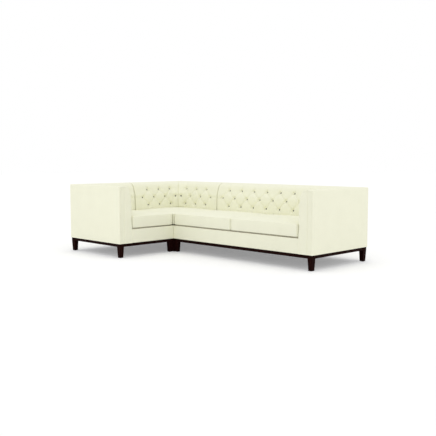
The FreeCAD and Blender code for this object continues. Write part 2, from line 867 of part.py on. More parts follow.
def make_cushion(label, wall, along, across):
    """A loose seat cushion: rolled edges, drawn-in sides and a crowned top."""
    start, length = wall.span(*along)
    low = Vector(0, number(across[0]), 0)
    high = Vector(number(length), number(across[1]), 0)
    edge = number("cushion_edge")
    thick = number("cushion_thick - cushion_rest")
    crown = number("cushion_crown")
    reach = min(high.x - low.x, high.y - low.y) - 2 * number("cushion_corner")
    roll = edge * (1 - math.sqrt(0.5))
    rings = [
        (edge, 0), (roll, roll), (0, edge), (0, thick - edge), (roll, thick - roll), (edge, thick),
    ]
    rings += [(reach * inset, thick + crown * share) for inset, share in CROWN_RINGS]
    item = document.addObject("Part::Feature", f"{label}_body")
    item.Shape = facet_solid([cushion_ring(low, high, *ring) for ring in rings])
    put(item, wall, start, "0", "deck_height + cushion_rest")
    finish(item, label)


def make_cushions():
    """Four seat cushions: one left, one in the corner, and two halves on the right."""
    back = "band + back_pad + cushion_back"
    over = "wing_depth + cushion_over"
    arm = "band + arm_pad + cushion_back"
    for name, halves in (("left", 1), ("right", 2)):
        wall = SECTIONS[name].wall
        stop = f"{wall.length} - section_gap / 2 - cushion_side"
        step = f"(({stop}) - ({arm}) - {halves - 1} * cushion_side) / {halves}"
        for index in range(halves):
            low = f"{arm} + {index} * ({step} + cushion_side)"
            place = "" if halves == 1 else f"_{('outer', 'inner')[index]}"
            label = f"{name}{place}_seat_cushion"
            make_cushion(label, wall, (low, f"{low} + {step}"), (back, over))
    stop = "wing_depth - section_gap / 2 - cushion_side"
    make_cushion("corner_seat_cushion", SECTIONS["corner"].wall, (back, stop), (back, stop))


for part_section in SECTIONS.values():
    make_frames(part_section)
    for wall_name in part_section.walls:
        make_cover(WALLS[wall_name])
        make_tufted_pad(WALLS[wall_name])
    make_seat_base(part_section)
    make_base(part_section)
    if part_section.hooks == "tongues":
        make_tongues(part_section)
    else:
        make_catches(part_section)
make_cushions()
document.recompute()

for item in document.Objects:
    if "Invalid" in item.State or "Error" in item.State:
        raise RuntimeError(f"{item.Name} failed: {item.State}")
for node in nodes:
    if node.Shape.isNull() or not node.Shape.isValid() or not node.Shape.Solids:
        raise RuntimeError(f"{node.Label} has no valid solid")

os.makedirs("parts", exist_ok=True)
for node in nodes:
    node.Shape.exportStep(f"parts/{node.Label}.step")
    print(f"{node.Label}: {len(node.Shape.Solids)} solids, {node.Shape.Volume / 1e6:.3f} litres")
print(f"{len(nodes)} nodes")
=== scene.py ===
"""Looks of a cream corner sofa: tufted walls, loose seat cushions, a dark plinth and tapered legs.

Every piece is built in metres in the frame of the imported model. The short wing runs along -Y from the
corner at (-X, +Y), the long wing runs along +X, and both face into the L.
"""

import json
import logging
import math
from dataclasses import dataclass
from enum import Enum
from typing import Optional

import bmesh
import bpy
import numpy as np
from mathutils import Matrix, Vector

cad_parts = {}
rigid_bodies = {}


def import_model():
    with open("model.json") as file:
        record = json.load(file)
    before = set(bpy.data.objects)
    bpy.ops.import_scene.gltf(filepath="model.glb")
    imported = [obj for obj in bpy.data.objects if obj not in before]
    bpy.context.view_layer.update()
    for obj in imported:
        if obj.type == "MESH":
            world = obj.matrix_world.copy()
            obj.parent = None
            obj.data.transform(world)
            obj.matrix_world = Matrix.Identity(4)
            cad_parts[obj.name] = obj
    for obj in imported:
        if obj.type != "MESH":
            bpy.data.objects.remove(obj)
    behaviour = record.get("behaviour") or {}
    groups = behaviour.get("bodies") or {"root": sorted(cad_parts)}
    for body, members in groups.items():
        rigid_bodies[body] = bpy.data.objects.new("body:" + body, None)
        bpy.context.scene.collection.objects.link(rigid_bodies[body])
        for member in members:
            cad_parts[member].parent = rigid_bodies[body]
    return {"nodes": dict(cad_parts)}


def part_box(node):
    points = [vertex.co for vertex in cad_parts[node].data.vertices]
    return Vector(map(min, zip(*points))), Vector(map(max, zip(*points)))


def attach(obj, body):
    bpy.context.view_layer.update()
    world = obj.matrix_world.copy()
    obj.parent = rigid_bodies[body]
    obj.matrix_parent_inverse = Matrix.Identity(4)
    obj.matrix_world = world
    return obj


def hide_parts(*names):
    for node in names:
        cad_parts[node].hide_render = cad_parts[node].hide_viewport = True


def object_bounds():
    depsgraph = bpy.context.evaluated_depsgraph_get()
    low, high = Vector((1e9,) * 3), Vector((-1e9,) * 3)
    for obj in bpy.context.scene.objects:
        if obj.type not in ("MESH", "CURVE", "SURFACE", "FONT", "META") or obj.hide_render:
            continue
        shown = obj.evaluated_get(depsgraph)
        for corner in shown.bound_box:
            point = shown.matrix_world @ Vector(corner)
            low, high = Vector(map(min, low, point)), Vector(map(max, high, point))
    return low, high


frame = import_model()
CAD_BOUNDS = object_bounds()

logging.basicConfig(level=logging.INFO, format="%(levelname)s %(message)s")
log = logging.getLogger("corner_sofa")

Color = tuple[float, float, float]
Place = tuple[float, float, float]

# Outer lines of the sofa, in metres.
WEST, EAST = CAD_BOUNDS[0].x, CAD_BOUNDS[1].x
SOUTH, NORTH = CAD_BOUNDS[0].y, CAD_BOUNDS[1].y
TOP = CAD_BOUNDS[1].z
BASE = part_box("left_arm_cover")[0].z
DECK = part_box("left_seat_deck")[1].z
WING_DEPTH = 0.969
BAND = 0.066
BACK_PAD = 0.182
ARM_PAD = 0.108
SEAM_HALF = 0.0003


class Ending(Enum):
    """What the open end of a wall meets."""

    SEAM = "seam"
    FRONT = "front"


# ---------------------------------------------------------------------------------------------
# Small numeric helpers
# ---------------------------------------------------------------------------------------------


def smoothstep(low: float, high: float, value: np.ndarray) -> np.ndarray:
    """Rise smoothly from 0 at low to 1 at high."""
    share = np.clip((value - low) / (high - low), 0.0, 1.0)
    return share * share * (3.0 - 2.0 * share)


def quarter_drop(distance: np.ndarray, radius: np.ndarray) -> np.ndarray:
    """Return how far a quarter-round edge has fallen at a distance from the edge's end."""
    near = np.clip(radius - distance, 0.0, None)
    return radius - np.sqrt(np.clip(radius**2 - near**2, 0.0, None))


def ripple(first: np.ndarray, second: np.ndarray, length: float, seed: int) -> np.ndarray:
    """Sum a few sine waves of random direction into a gentle unevenness between about -1 and 1.

    Args:
        first: First surface coordinate in metres.
        second: Second surface coordinate in metres.
        length: Typical wave length in metres.
        seed: Seed of the directions and phases.

    Returns:
        The unevenness at each point.
    """
    rng = np.random.default_rng(seed)
    total = np.zeros(np.broadcast(first, second).shape)
    waves = 7
    for _ in range(waves):
        angle, phase = rng.uniform(0.0, math.tau, 2)
        pitch = math.tau / (length * rng.uniform(0.6, 1.6))
        total = total + np.sin(pitch * (first * math.cos(angle) + second * math.sin(angle)) + phase)
    return total / math.sqrt(2.0 * waves)


def stack(*parts: np.ndarray) -> np.ndarray:
    """Join coordinates that broadcast together into an array of points."""
    return np.stack(np.broadcast_arrays(*parts), axis=-1)


def bell(distance: np.ndarray, width: float) -> np.ndarray:
    """Fall smoothly from 1 at no distance towards 0 past a width."""
    return np.exp(-((distance / width) ** 2))


def mesh_points(mesh: bpy.types.Mesh) -> np.ndarray:
    """Return where a mesh's vertices are, one in each row."""
    places = np.empty(len(mesh.vertices) * 3)
    mesh.vertices.foreach_get("co", places)
    return places.reshape(-1, 3)


def rim_distance(points: np.ndarray, low: np.ndarray, high: np.ndarray) -> np.ndarray:
    """Return how far points lie inside a box's four upright sides."""
    sides = [np.minimum(points[:, axis] - low[axis], high[axis] - points[:, axis]) for axis in (0, 1)]
    return np.min(sides, axis=0)


# ---------------------------------------------------------------------------------------------
# Finishes
# ---------------------------------------------------------------------------------------------


class Nodes:
    """A thin wrapper that adds and links nodes in one node tree."""

    def __init__(self, tree: bpy.types.NodeTree) -> None:
        """Keep the tree that the nodes go into."""
        self.tree = tree

    def add(self, kind: str, **settings: object) -> bpy.types.Node:
        """Add a node.

        Args:
            kind: Type name of the node.
            **settings: Its plain properties.

        Returns:
            The node.
        """
        node = self.tree.nodes.new(kind)
        for name, value in settings.items():
            setattr(node, name, value)
        return node

    def link(self, source: bpy.types.NodeSocket, target: bpy.types.NodeSocket) -> None:
        """Join two sockets."""
        self.tree.links.new(source, target)


class Shader(Nodes):
    """A shader tree, with the nodes that several materials need."""

    def math(self, operation: str, first: object, second: object = 0.0) -> bpy.types.NodeSocket:
        """Add a Math node.

        Args:
            operation: What the node does.
            first: Its first socket or number.
            second: Its second socket or number.

        Returns:
            The socket of the result.
        """
        node = self.add("ShaderNodeMath", operation=operation)
        for socket, value in zip(node.inputs, (first, second)):
            if isinstance(value, bpy.types.NodeSocket):
                self.link(value, socket)
            else:
                socket.default_value = value
        return node.outputs[0]

    def product(self, first: object, second: object) -> bpy.types.NodeSocket:
        """Multiply two sockets or numbers."""
        return self.math("MULTIPLY", first, second)

    def affine(self, value: object, factor: object, offset: object) -> bpy.types.NodeSocket:
        """Multiply a value by a factor and add an offset."""
        return self.math("ADD", self.product(value, factor), offset)

    def noise(self, vector: bpy.types.NodeSocket, scale: float, detail: float = 3.0) -> bpy.types.Node:
        """Add a noise texture.

        Args:
            vector: Where the texture is read.
            scale: Its scale.
            detail: Its detail.

        Returns:
            The node.
        """
        node = self.add("ShaderNodeTexNoise")
        node.inputs["Scale"].default_value = scale
        node.inputs["Detail"].default_value = detail
        self.link(vector, node.inputs["Vector"])
        return node


def new_group(name: str, inputs: list[tuple[str, str, object]], outputs: list[tuple[str, str]]) -> Shader:
    """Start a shader node group with named sockets.

    Args:
        name: Name of the group.
        inputs: Name, socket type and default of each input.
        outputs: Name and socket type of each output.

    Returns:
        A wrapper of the group's tree, which already holds its input and output nodes.
    """
    group = bpy.data.node_groups.new(name, "ShaderNodeTree")
    for label, kind, default in inputs:
        socket = group.interface.new_socket(label, in_out="INPUT", socket_type=kind)
        if default is not None:
            socket.default_value = default
    for label, kind in outputs:
        group.interface.new_socket(label, in_out="OUTPUT", socket_type=kind)
    shader = Shader(group)
    shader.add("NodeGroupInput", name="in")
    shader.add("NodeGroupOutput", name="out")
    return shader


def weave_group() -> bpy.types.NodeTree:
    """Build the plain weave that every cloth shares: over and under threads with uneven yarn.

    Returns:
        A group that turns surface coordinates in metres into a thread height, a thread tone that is uneven
        yarn plus painted shade in the gaps between threads, and a slow mottling of the dye.
    """
    shader = new_group(
        "plain_weave",
        [("Cloth", "NodeSocketVector", None), ("Threads", "NodeSocketFloat", 900.0)],
        [("Height", "NodeSocketFloat"), ("Shade", "NodeSocketFloat"), ("Mottle", "NodeSocketFloat")],
    )
    source = shader.tree.nodes["in"]
    result = shader.tree.nodes["out"]
    split = shader.add("ShaderNodeSeparateXYZ")
    shader.link(source.outputs["Cloth"], split.inputs[0])
    waves = []
    for axis in ("X", "Y"):
        counted = shader.product(split.outputs[axis], source.outputs["Threads"])
        waves.append(shader.math("SINE", shader.product(counted, math.pi)))
    across, along = waves
    over = shader.affine(shader.product(across, along), 0.25, 0.5)
    # Painted shade: the thread tone falls towards the gaps between threads, so the colour is darker where the
    # weave dips.
    rounds = shader.math("ADD", shader.math("ABSOLUTE", across), shader.math("ABSOLUTE", along))
    threads = shader.product(rounds, 0.25)
    yarn = shader.noise(source.outputs["Cloth"], 260.0, 2.0).outputs[0]
    height = shader.math("ADD", over, threads)
    shader.link(shader.affine(yarn, 0.35, height), result.inputs["Height"])
    shader.link(shader.affine(threads, 0.6, shader.product(yarn, 0.5)), result.inputs["Shade"])
    mottle = shader.noise(source.outputs["Cloth"], 7.0, 4.0)
    shader.link(mottle.outputs[0], result.inputs["Mottle"])
    return shader.tree


def grain_group() -> bpy.types.NodeTree:
    """Build the wood grain that stained and raw timber share.

    Returns:
        A group that turns a vector, stretched along the grain, into a figure and a fine pore mask.
    """
    shader = new_group(
        "timber_grain",
        [("Place", "NodeSocketVector", None), ("Figure", "NodeSocketFloat", 14.0)],
        [("Figure", "NodeSocketFloat"), ("Pores", "NodeSocketFloat")],
    )
    source = shader.tree.nodes["in"]
    result = shader.tree.nodes["out"]
    warp = shader.noise(source.outputs["Place"], 6.0, 2.0)
    bent = shader.add("ShaderNodeVectorMath", operation="ADD")
    shader.link(source.outputs["Place"], bent.inputs[0])
    shader.link(warp.outputs["Color"], bent.inputs[1])
    rings = shader.add("ShaderNodeTexWave", wave_type="RINGS", rings_direction="SPHERICAL")
    rings.inputs["Distortion"].default_value = 3.0
    rings.inputs["Detail"].default_value = 3.0
    shader.link(bent.outputs[0], rings.inputs["Vector"])
    shader.link(source.outputs["Figure"], rings.inputs["Scale"])
    shader.link(rings.outputs["Fac"], result.inputs["Figure"])
    pores = shader.noise(source.outputs["Place"], 90.0, 5.0)
    ramp = shader.add("ShaderNodeValToRGB")
    ramp.color_ramp.elements[0].position = 0.42
    ramp.color_ramp.elements[1].position = 0.60
    shader.link(pores.outputs[0], ramp.inputs[0])
    shader.link(ramp.outputs["Color"], result.inputs["Pores"])
    return shader.tree


def blend_colors(
    shader: Shader, share: bpy.types.NodeSocket, low: Color, high: Color
) -> bpy.types.NodeSocket:
    """Mix two colours.

    Args:
        shader: The tree that the node goes into.
        share: How much of the high colour shows, from 0 to 1.
        low: The colour at 0.
        high: The colour at 1.

    Returns:
        The colour socket.
    """
    mix = shader.add("ShaderNodeMix", data_type="RGBA")
    mix.inputs[6].default_value = (*low, 1.0)
    mix.inputs[7].default_value = (*high, 1.0)
    shader.link(share, mix.inputs[0])
    return mix.outputs[2]


def start_material(name: str) -> tuple[bpy.types.Material, Shader, bpy.types.Node]:
    """Start a material that holds one Principled BSDF.

    Args:
        name: Name of the material.

    Returns:
        The material, a wrapper of its tree, and its Principled BSDF.
    """
    material = bpy.data.materials.new(name)
    material.use_nodes = True
    shader = Shader(material.node_tree)
    principled = next(node for node in material.node_tree.nodes if node.type == "BSDF_PRINCIPLED")
    return material, shader, principled


def add_bump(shader: Shader, height: bpy.types.NodeSocket, principled: bpy.types.Node, depth: float) -> None:
    """Drive the shader's normal by a height.

    Args:
        shader: The material's tree.
        height: Socket of the height, from 0 to 1.
        principled: The material's Principled BSDF.
        depth: What a height of 1 stands for, in metres.
    """
    bump = shader.add("ShaderNodeBump")
    bump.inputs["Strength"].default_value = 1.0
    bump.inputs["Distance"].default_value = depth
    shader.link(height, bump.inputs["Height"])
    shader.link(bump.outputs[0], principled.inputs["Normal"])


@dataclass(frozen=True)
class ClothFinish:
    """A woven cloth with uneven yarn, a soft sheen and a slow mottling."""

    name: str
    light: Color
    dark: Color
    threads: float
    sheen: float
    depth: float = 0.00018

    def build(self, weave: bpy.types.NodeTree) -> bpy.types.Material:
        """Build the cloth's material on the piece's own UV map, whose unit is a metre.

        Args:
            weave: The shared weave group.

        Returns:
            The material.
        """
        material, shader, principled = start_material(self.name)
        cloth = shader.add("ShaderNodeUVMap", uv_map="cloth")
        group = shader.add("ShaderNodeGroup", node_tree=weave)
        group.inputs["Threads"].default_value = self.threads
        shader.link(cloth.outputs[0], group.inputs["Cloth"])
        # The colour carries the weave's painted shade between threads, along with uneven yarn and mottling.
        tone = shader.affine(group.outputs["Shade"], 0.7, shader.product(group.outputs["Mottle"], 0.5))
        shader.link(blend_colors(shader, tone, self.dark, self.light), principled.inputs["Base Color"])
        shader.link(shader.affine(group.outputs["Shade"], -0.12, 0.92), principled.inputs["Roughness"])
        principled.inputs["Specular IOR Level"].default_value = 0.25
        principled.inputs["Sheen Weight"].default_value = self.sheen
        principled.inputs["Sheen Roughness"].default_value = 0.55
        add_bump(shader, group.outputs["Height"], principled, self.depth)
        return material


class GrainAxis(Enum):
    """The direction in which a timber piece's grain runs."""

    UPRIGHT = (1.0, 1.0, 0.08)
    ALONG_X = (0.08, 1.0, 1.0)
    ALONG_Y = (1.0, 0.08, 1.0)


@dataclass(frozen=True)
class TimberFinish:
    """Stained or raw timber with figure and open pores."""

    name: str
    light: Color
    dark: Color
    roughness: float
    axis: GrainAxis
    gloss: float = 0.025

    def build(self, grain: bpy.types.NodeTree) -> bpy.types.Material:
        """Build the timber's material on object coordinates.

        Args:
            grain: The shared grain group.

        Returns:
            The material.
        """
        material, shader, principled = start_material(self.name)
        place = shader.add("ShaderNodeTexCoord")
        stretch = shader.add("ShaderNodeMapping")
        stretch.inputs["Scale"].default_value = self.axis.value
        shader.link(place.outputs["Object"], stretch.inputs["Vector"])
        group = shader.add("ShaderNodeGroup", node_tree=grain)
        shader.link(stretch.outputs[0], group.inputs["Place"])
        tone = shader.affine(group.outputs["Figure"], 0.6, shader.product(group.outputs["Pores"], 0.4))
        shader.link(blend_colors(shader, tone, self.dark, self.light), principled.inputs["Base Color"])
        rough = shader.affine(group.outputs["Pores"], -0.1, self.roughness + 0.05)
        shader.link(rough, principled.inputs["Roughness"])
        principled.inputs["Specular IOR Level"].default_value = self.gloss
        add_bump(shader, group.outputs["Pores"], principled, 0.00012)
        return material


@dataclass(frozen=True)
class SteelFinish:
    """Zinc-plated steel with a crystalline mottle and light scuffs."""

    name: str
    light: Color
    dark: Color
    roughness: float

    def build(self) -> bpy.types.Material:
        """Build the steel's material on object coordinates."""
        material, shader, principled = start_material(self.name)
        place = shader.add("ShaderNodeTexCoord")
        spangle = shader.add("ShaderNodeTexVoronoi")
        spangle.inputs["Scale"].default_value = 160.0
        shader.link(place.outputs["Object"], spangle.inputs["Vector"])
        scuffs = shader.noise(place.outputs["Object"], 45.0, 5.0)
        tone = shader.product(shader.math("ADD", spangle.outputs["Distance"], scuffs.outputs[0]), 0.6)
        shader.link(blend_colors(shader, tone, self.dark, self.light), principled.inputs["Base Color"])
        shader.link(shader.affine(scuffs.outputs[0], 0.25, self.roughness), principled.inputs["Roughness"])
        principled.inputs["Metallic"].default_value = 1.0
        add_bump(shader, scuffs.outputs[0], principled, 0.00005)
        return material


@dataclass(frozen=True)
class PlasticFinish:
    """Moulded plastic with a fine spark-eroded texture."""

    name: str
    light: Color
    dark: Color
    roughness: float

    def build(self) -> bpy.types.Material:
        """Build the plastic's material on object coordinates."""
        material, shader, principled = start_material(self.name)
        place = shader.add("ShaderNodeTexCoord")
        texture = shader.noise(place.outputs["Object"], 900.0, 2.0)
        dust = shader.noise(place.outputs["Object"], 30.0, 4.0)
        tone = blend_colors(shader, dust.outputs[0], self.dark, self.light)
        shader.link(tone, principled.inputs["Base Color"])
        shader.link(shader.affine(dust.outputs[0], 0.2, self.roughness), principled.inputs["Roughness"])
        add_bump(shader, texture.outputs[0], principled, 0.00006)
        return material


class Finishes:
    """Every material of the sofa, built once."""

    def __init__(self) -> None:
        """Build the shared groups and the materials that use them."""
        weave = weave_group()
        grain = grain_group()
        cream = ((0.905, 0.903, 0.728), (0.815, 0.812, 0.640))
        self.cream = ClothFinish("cream_cloth", *cream, threads=1100.0, sheen=0.12).build(weave)
        self.decking = ClothFinish(
            "decking_cloth", (0.80, 0.78, 0.66), (0.62, 0.60, 0.48), threads=700.0, sheen=0.05
        ).build(weave)
        self.lining = ClothFinish(
            "lining_cloth", (0.030, 0.030, 0.033), (0.012, 0.012, 0.014), threads=500.0, sheen=0.02
        ).build(weave)
        self.webbing = ClothFinish(
            "jute_webbing", (0.42, 0.30, 0.16), (0.22, 0.15, 0.08), threads=260.0, sheen=0.03, depth=0.0006
        ).build(weave)
        # Painted shade: the buttons get a dark grey cloth that stands in for the shade in the deep wells
        # round each button.
        self.button = ClothFinish(
            "button_cloth_painted_well_shade", (0.22, 0.22, 0.215), (0.15, 0.15, 0.145), threads=1100.0, sheen=0.05
        ).build(weave)
        stain = ((0.0165, 0.0036, 0.0026), (0.0070, 0.0015, 0.0011))
        self.stained = {
            axis: TimberFinish(f"espresso_stain_{axis.name.lower()}", *stain, 0.6, axis).build(grain)
            for axis in GrainAxis
        }
        raw = ((0.58, 0.38, 0.20), (0.36, 0.21, 0.10))
        self.timber = {
            axis: TimberFinish(f"sawn_timber_{axis.name.lower()}", *raw, 0.75, axis).build(grain)
            for axis in GrainAxis
        }
        self.steel = SteelFinish("zinc_plate", (0.62, 0.62, 0.60), (0.38, 0.38, 0.37), 0.28).build()
        self.plastic = PlasticFinish("glide_plastic", (0.045,) * 3, (0.018,) * 3, 0.5).build()


# ---------------------------------------------------------------------------------------------
# Mesh helpers
# ---------------------------------------------------------------------------------------------


def box_uv(mesh: bpy.types.Mesh) -> None:
    """Lay a UV map named cloth, in metres, by each face's main direction.

    Args:
        mesh: The mesh that gets the map.
    """
    layer = mesh.uv_layers.get("cloth") or mesh.uv_layers.new(name="cloth")
    corners = np.empty(len(mesh.loops), dtype=np.int32)
    mesh.loops.foreach_get("vertex_index", corners)
    places = mesh_points(mesh)[corners]
    normals = np.empty(len(mesh.polygons) * 3)
    mesh.polygons.foreach_get("normal", normals)
    sizes = np.empty(len(mesh.polygons), dtype=np.int32)
    mesh.polygons.foreach_get("loop_total", sizes)
    main = np.repeat(np.abs(normals.reshape(-1, 3)).argmax(axis=1), sizes)
    flat = np.empty((len(corners), 2))
    for axis, (across, up) in enumerate(((1, 2), (0, 2), (0, 1))):
        chosen = main == axis
        flat[chosen, 0] = places[chosen, across]
        flat[chosen, 1] = places[chosen, up]
    layer.data.foreach_set("uv", flat.ravel())


def link_piece(name: str, mesh: bpy.types.Mesh, material: bpy.types.Material) -> bpy.types.Object:
    """Put a mesh into the scene as a piece.

    Args:
        name: Name of the piece.
        mesh: Its mesh.
        material: Its only material.

    Returns:
        The piece.
    """
    piece = bpy.data.objects.new(name, mesh)
    bpy.context.scene.collection.objects.link(piece)
    mesh.materials.clear()
    mesh.materials.append(material)
    return piece


def bake_modifiers(piece: bpy.types.Object) -> None:
    """Replace a piece's mesh by what its modifiers make of it, and drop them.

    Args:
        piece: The piece.
    """
    graph = bpy.context.evaluated_depsgraph_get()
    baked = bpy.data.meshes.new_from_object(piece.evaluated_get(graph), depsgraph=graph)
    piece.modifiers.clear()
    old = piece.data
    piece.data = baked
    bpy.data.meshes.remove(old)


def hand_over(
    piece: bpy.types.Object, body: str, nodes: tuple[str, ...] = ()
) -> None:
    """Give a finished piece to the frame.

    Args:
        piece: The finished piece.
        body: The body that it rides on.
        nodes: The CAD nodes that it stands for.
    """
    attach(piece, body)
    if nodes:
        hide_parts(*nodes)
    log.info("%s on %s: %d faces", piece.name, body, len(piece.data.polygons))


# ---------------------------------------------------------------------------------------------
# Walls
# ---------------------------------------------------------------------------------------------


@dataclass(frozen=True)
class Wall:
    """One straight back or arm, measured from its corner end to its open end."""

    name: str
    body: str
    corner: tuple[float, float]
    along: tuple[float, float]
    inward: tuple[float, float]
    length: float
    ending: Ending
    pad: float
    next_pad: float
    corner_round: float
    margin: float
    pitch: float
    tufts: int
    side_tufts: int
    seed: int

    @property
    def end(self) -> float:
        """Distance from the corner end to the open end."""
        return self.length - (SEAM_HALF if self.ending is Ending.SEAM else 0.0)

    def place(self, along: np.ndarray, inward: np.ndarray, height: np.ndarray) -> np.ndarray:
        """Turn distances along and inward, and heights, into points of the sofa's frame."""
        x = self.corner[0] + along * self.along[0] + inward * self.inward[0]
        y = self.corner[1] + along * self.along[1] + inward * self.inward[1]
        return stack(x, y, height)


WALLS = (
    Wall(
        "left_arm", "left_section", (WEST, SOUTH), (1.0, 0.0), (0.0, 1.0), WING_DEPTH,
        Ending.FRONT, ARM_PAD, BACK_PAD, 0.05, 0.086, 0.202, 4, 3, 11,
    ),
    Wall(
        "left_back", "left_section", (WEST, SOUTH), (0.0, 1.0), (1.0, 0.0), NORTH - SOUTH - WING_DEPTH,
        Ending.SEAM, BACK_PAD, ARM_PAD, 0.05, 0.086, 0.202, 3, 2, 23,
    ),
    Wall(
        "corner_left_back", "corner_section", (WEST, NORTH), (0.0, -1.0), (1.0, 0.0), WING_DEPTH,
        Ending.SEAM, BACK_PAD, BACK_PAD, 0.128, 0.132, 0.1865, 4, 3, 37,
    ),
    Wall(
        "corner_right_back", "corner_section", (WEST, NORTH), (1.0, 0.0), (0.0, -1.0), WING_DEPTH,
        Ending.SEAM, BACK_PAD, BACK_PAD, 0.128, 0.132, 0.1865, 4, 3, 41,
    ),
    Wall(
        "right_back", "right_section", (EAST, NORTH), (-1.0, 0.0), (0.0, -1.0), EAST - WEST - WING_DEPTH,
        Ending.SEAM, BACK_PAD, ARM_PAD, 0.05, 0.086, 0.202, 9, 9, 53,
    ),
    Wall(
        "right_arm", "right_section", (EAST, NORTH), (0.0, -1.0), (-1.0, 0.0), WING_DEPTH,
        Ending.FRONT, ARM_PAD, BACK_PAD, 0.05, 0.086, 0.202, 4, 3, 67,
    ),
)


@dataclass(frozen=True)
class Profile:
    """A cross-section of a wall: points inward and up, and the length of cloth up to each."""

    inward: np.ndarray
    height: np.ndarray
    run: np.ndarray
    out_inward: np.ndarray
    out_height: np.ndarray

    @staticmethod
    def through(points: np.ndarray, step: float, soften: float) -> "Profile":
        """Lay a profile through points at an even step, with its bends softened.

        Args:
            points: Inward and height pairs, from the joint at the top on.
            step: Distance between the profile's points.
            soften: Length over which bends are averaged.

        Returns:
            The profile, with normals that point out of the cloth.
        """
        legs = np.linalg.norm(np.diff(points, axis=0), axis=1)
        run = np.concatenate(([0.0], np.cumsum(legs)))
        even = np.linspace(0.0, run[-1], max(int(run[-1] / step), 2) + 1)
        dense = np.linspace(-soften, run[-1] + soften, 1600)
        line = np.stack([extend_line(dense, run, points[:, axis]) for axis in (0, 1)], axis=1)
        width = max(int(soften / (dense[1] - dense[0])), 1)
        kernel = np.hanning(width + 2)[1:-1]
        kernel /= kernel.sum()
        soft = np.stack([np.convolve(line[:, axis], kernel, mode="same") for axis in (0, 1)], axis=1)
        keep = np.clip(np.minimum(dense, run[-1] - dense) / soften, 0.0, 1.0)[:, None]
        soft = soft * keep + line * (1.0 - keep)
        inward = np.interp(even, dense, soft[:, 0])
        height = np.interp(even, dense, soft[:, 1])
        way = np.gradient(np.stack([inward, height], axis=1), axis=0)
        way /= np.linalg.norm(way, axis=1)[:, None]
        return Profile(inward, height, even, -way[:, 1], way[:, 0])

    def run_at(self, height: float) -> float:
        """Return the length of cloth down to a height on the profile's face."""
        below = np.argmax(self.height)
        return float(np.interp(-height, -self.height[below:], self.run[below:]))


def extend_line(at: np.ndarray, run: np.ndarray, values: np.ndarray) -> np.ndarray:
    """Interpolate along a polyline, and go straight on past both of its ends.

    Args:
        at: Lengths along the line to read.
        run: Length up to each corner of the line.
        values: Value at each corner.

    Returns:
        The values at those lengths.
    """
    inside = np.interp(at, run, values)
    before = (values[1] - values[0]) / (run[1] - run[0]) * np.clip(at - run[0], None, 0.0)
    after = (values[-1] - values[-2]) / (run[-1] - run[-2]) * np.clip(at - run[-1], 0.0, None)
    return inside + before + after


def arc_points(
    centre: tuple[float, float], radius: float, start: float, stop: float, count: int
) -> np.ndarray:
    """Lay an arc.

    Args:
        centre: Centre of the arc.
        radius: Its radius.
        start: Angle of its first point, in degrees.
        stop: Angle of its last point.
        count: Number of points.

    Returns:
        The points, one in each row.
    """
    angles = np.radians(np.linspace(start, stop, count))
    return np.stack([centre[0] + radius * np.cos(angles), centre[1] + radius * np.sin(angles)], axis=1)


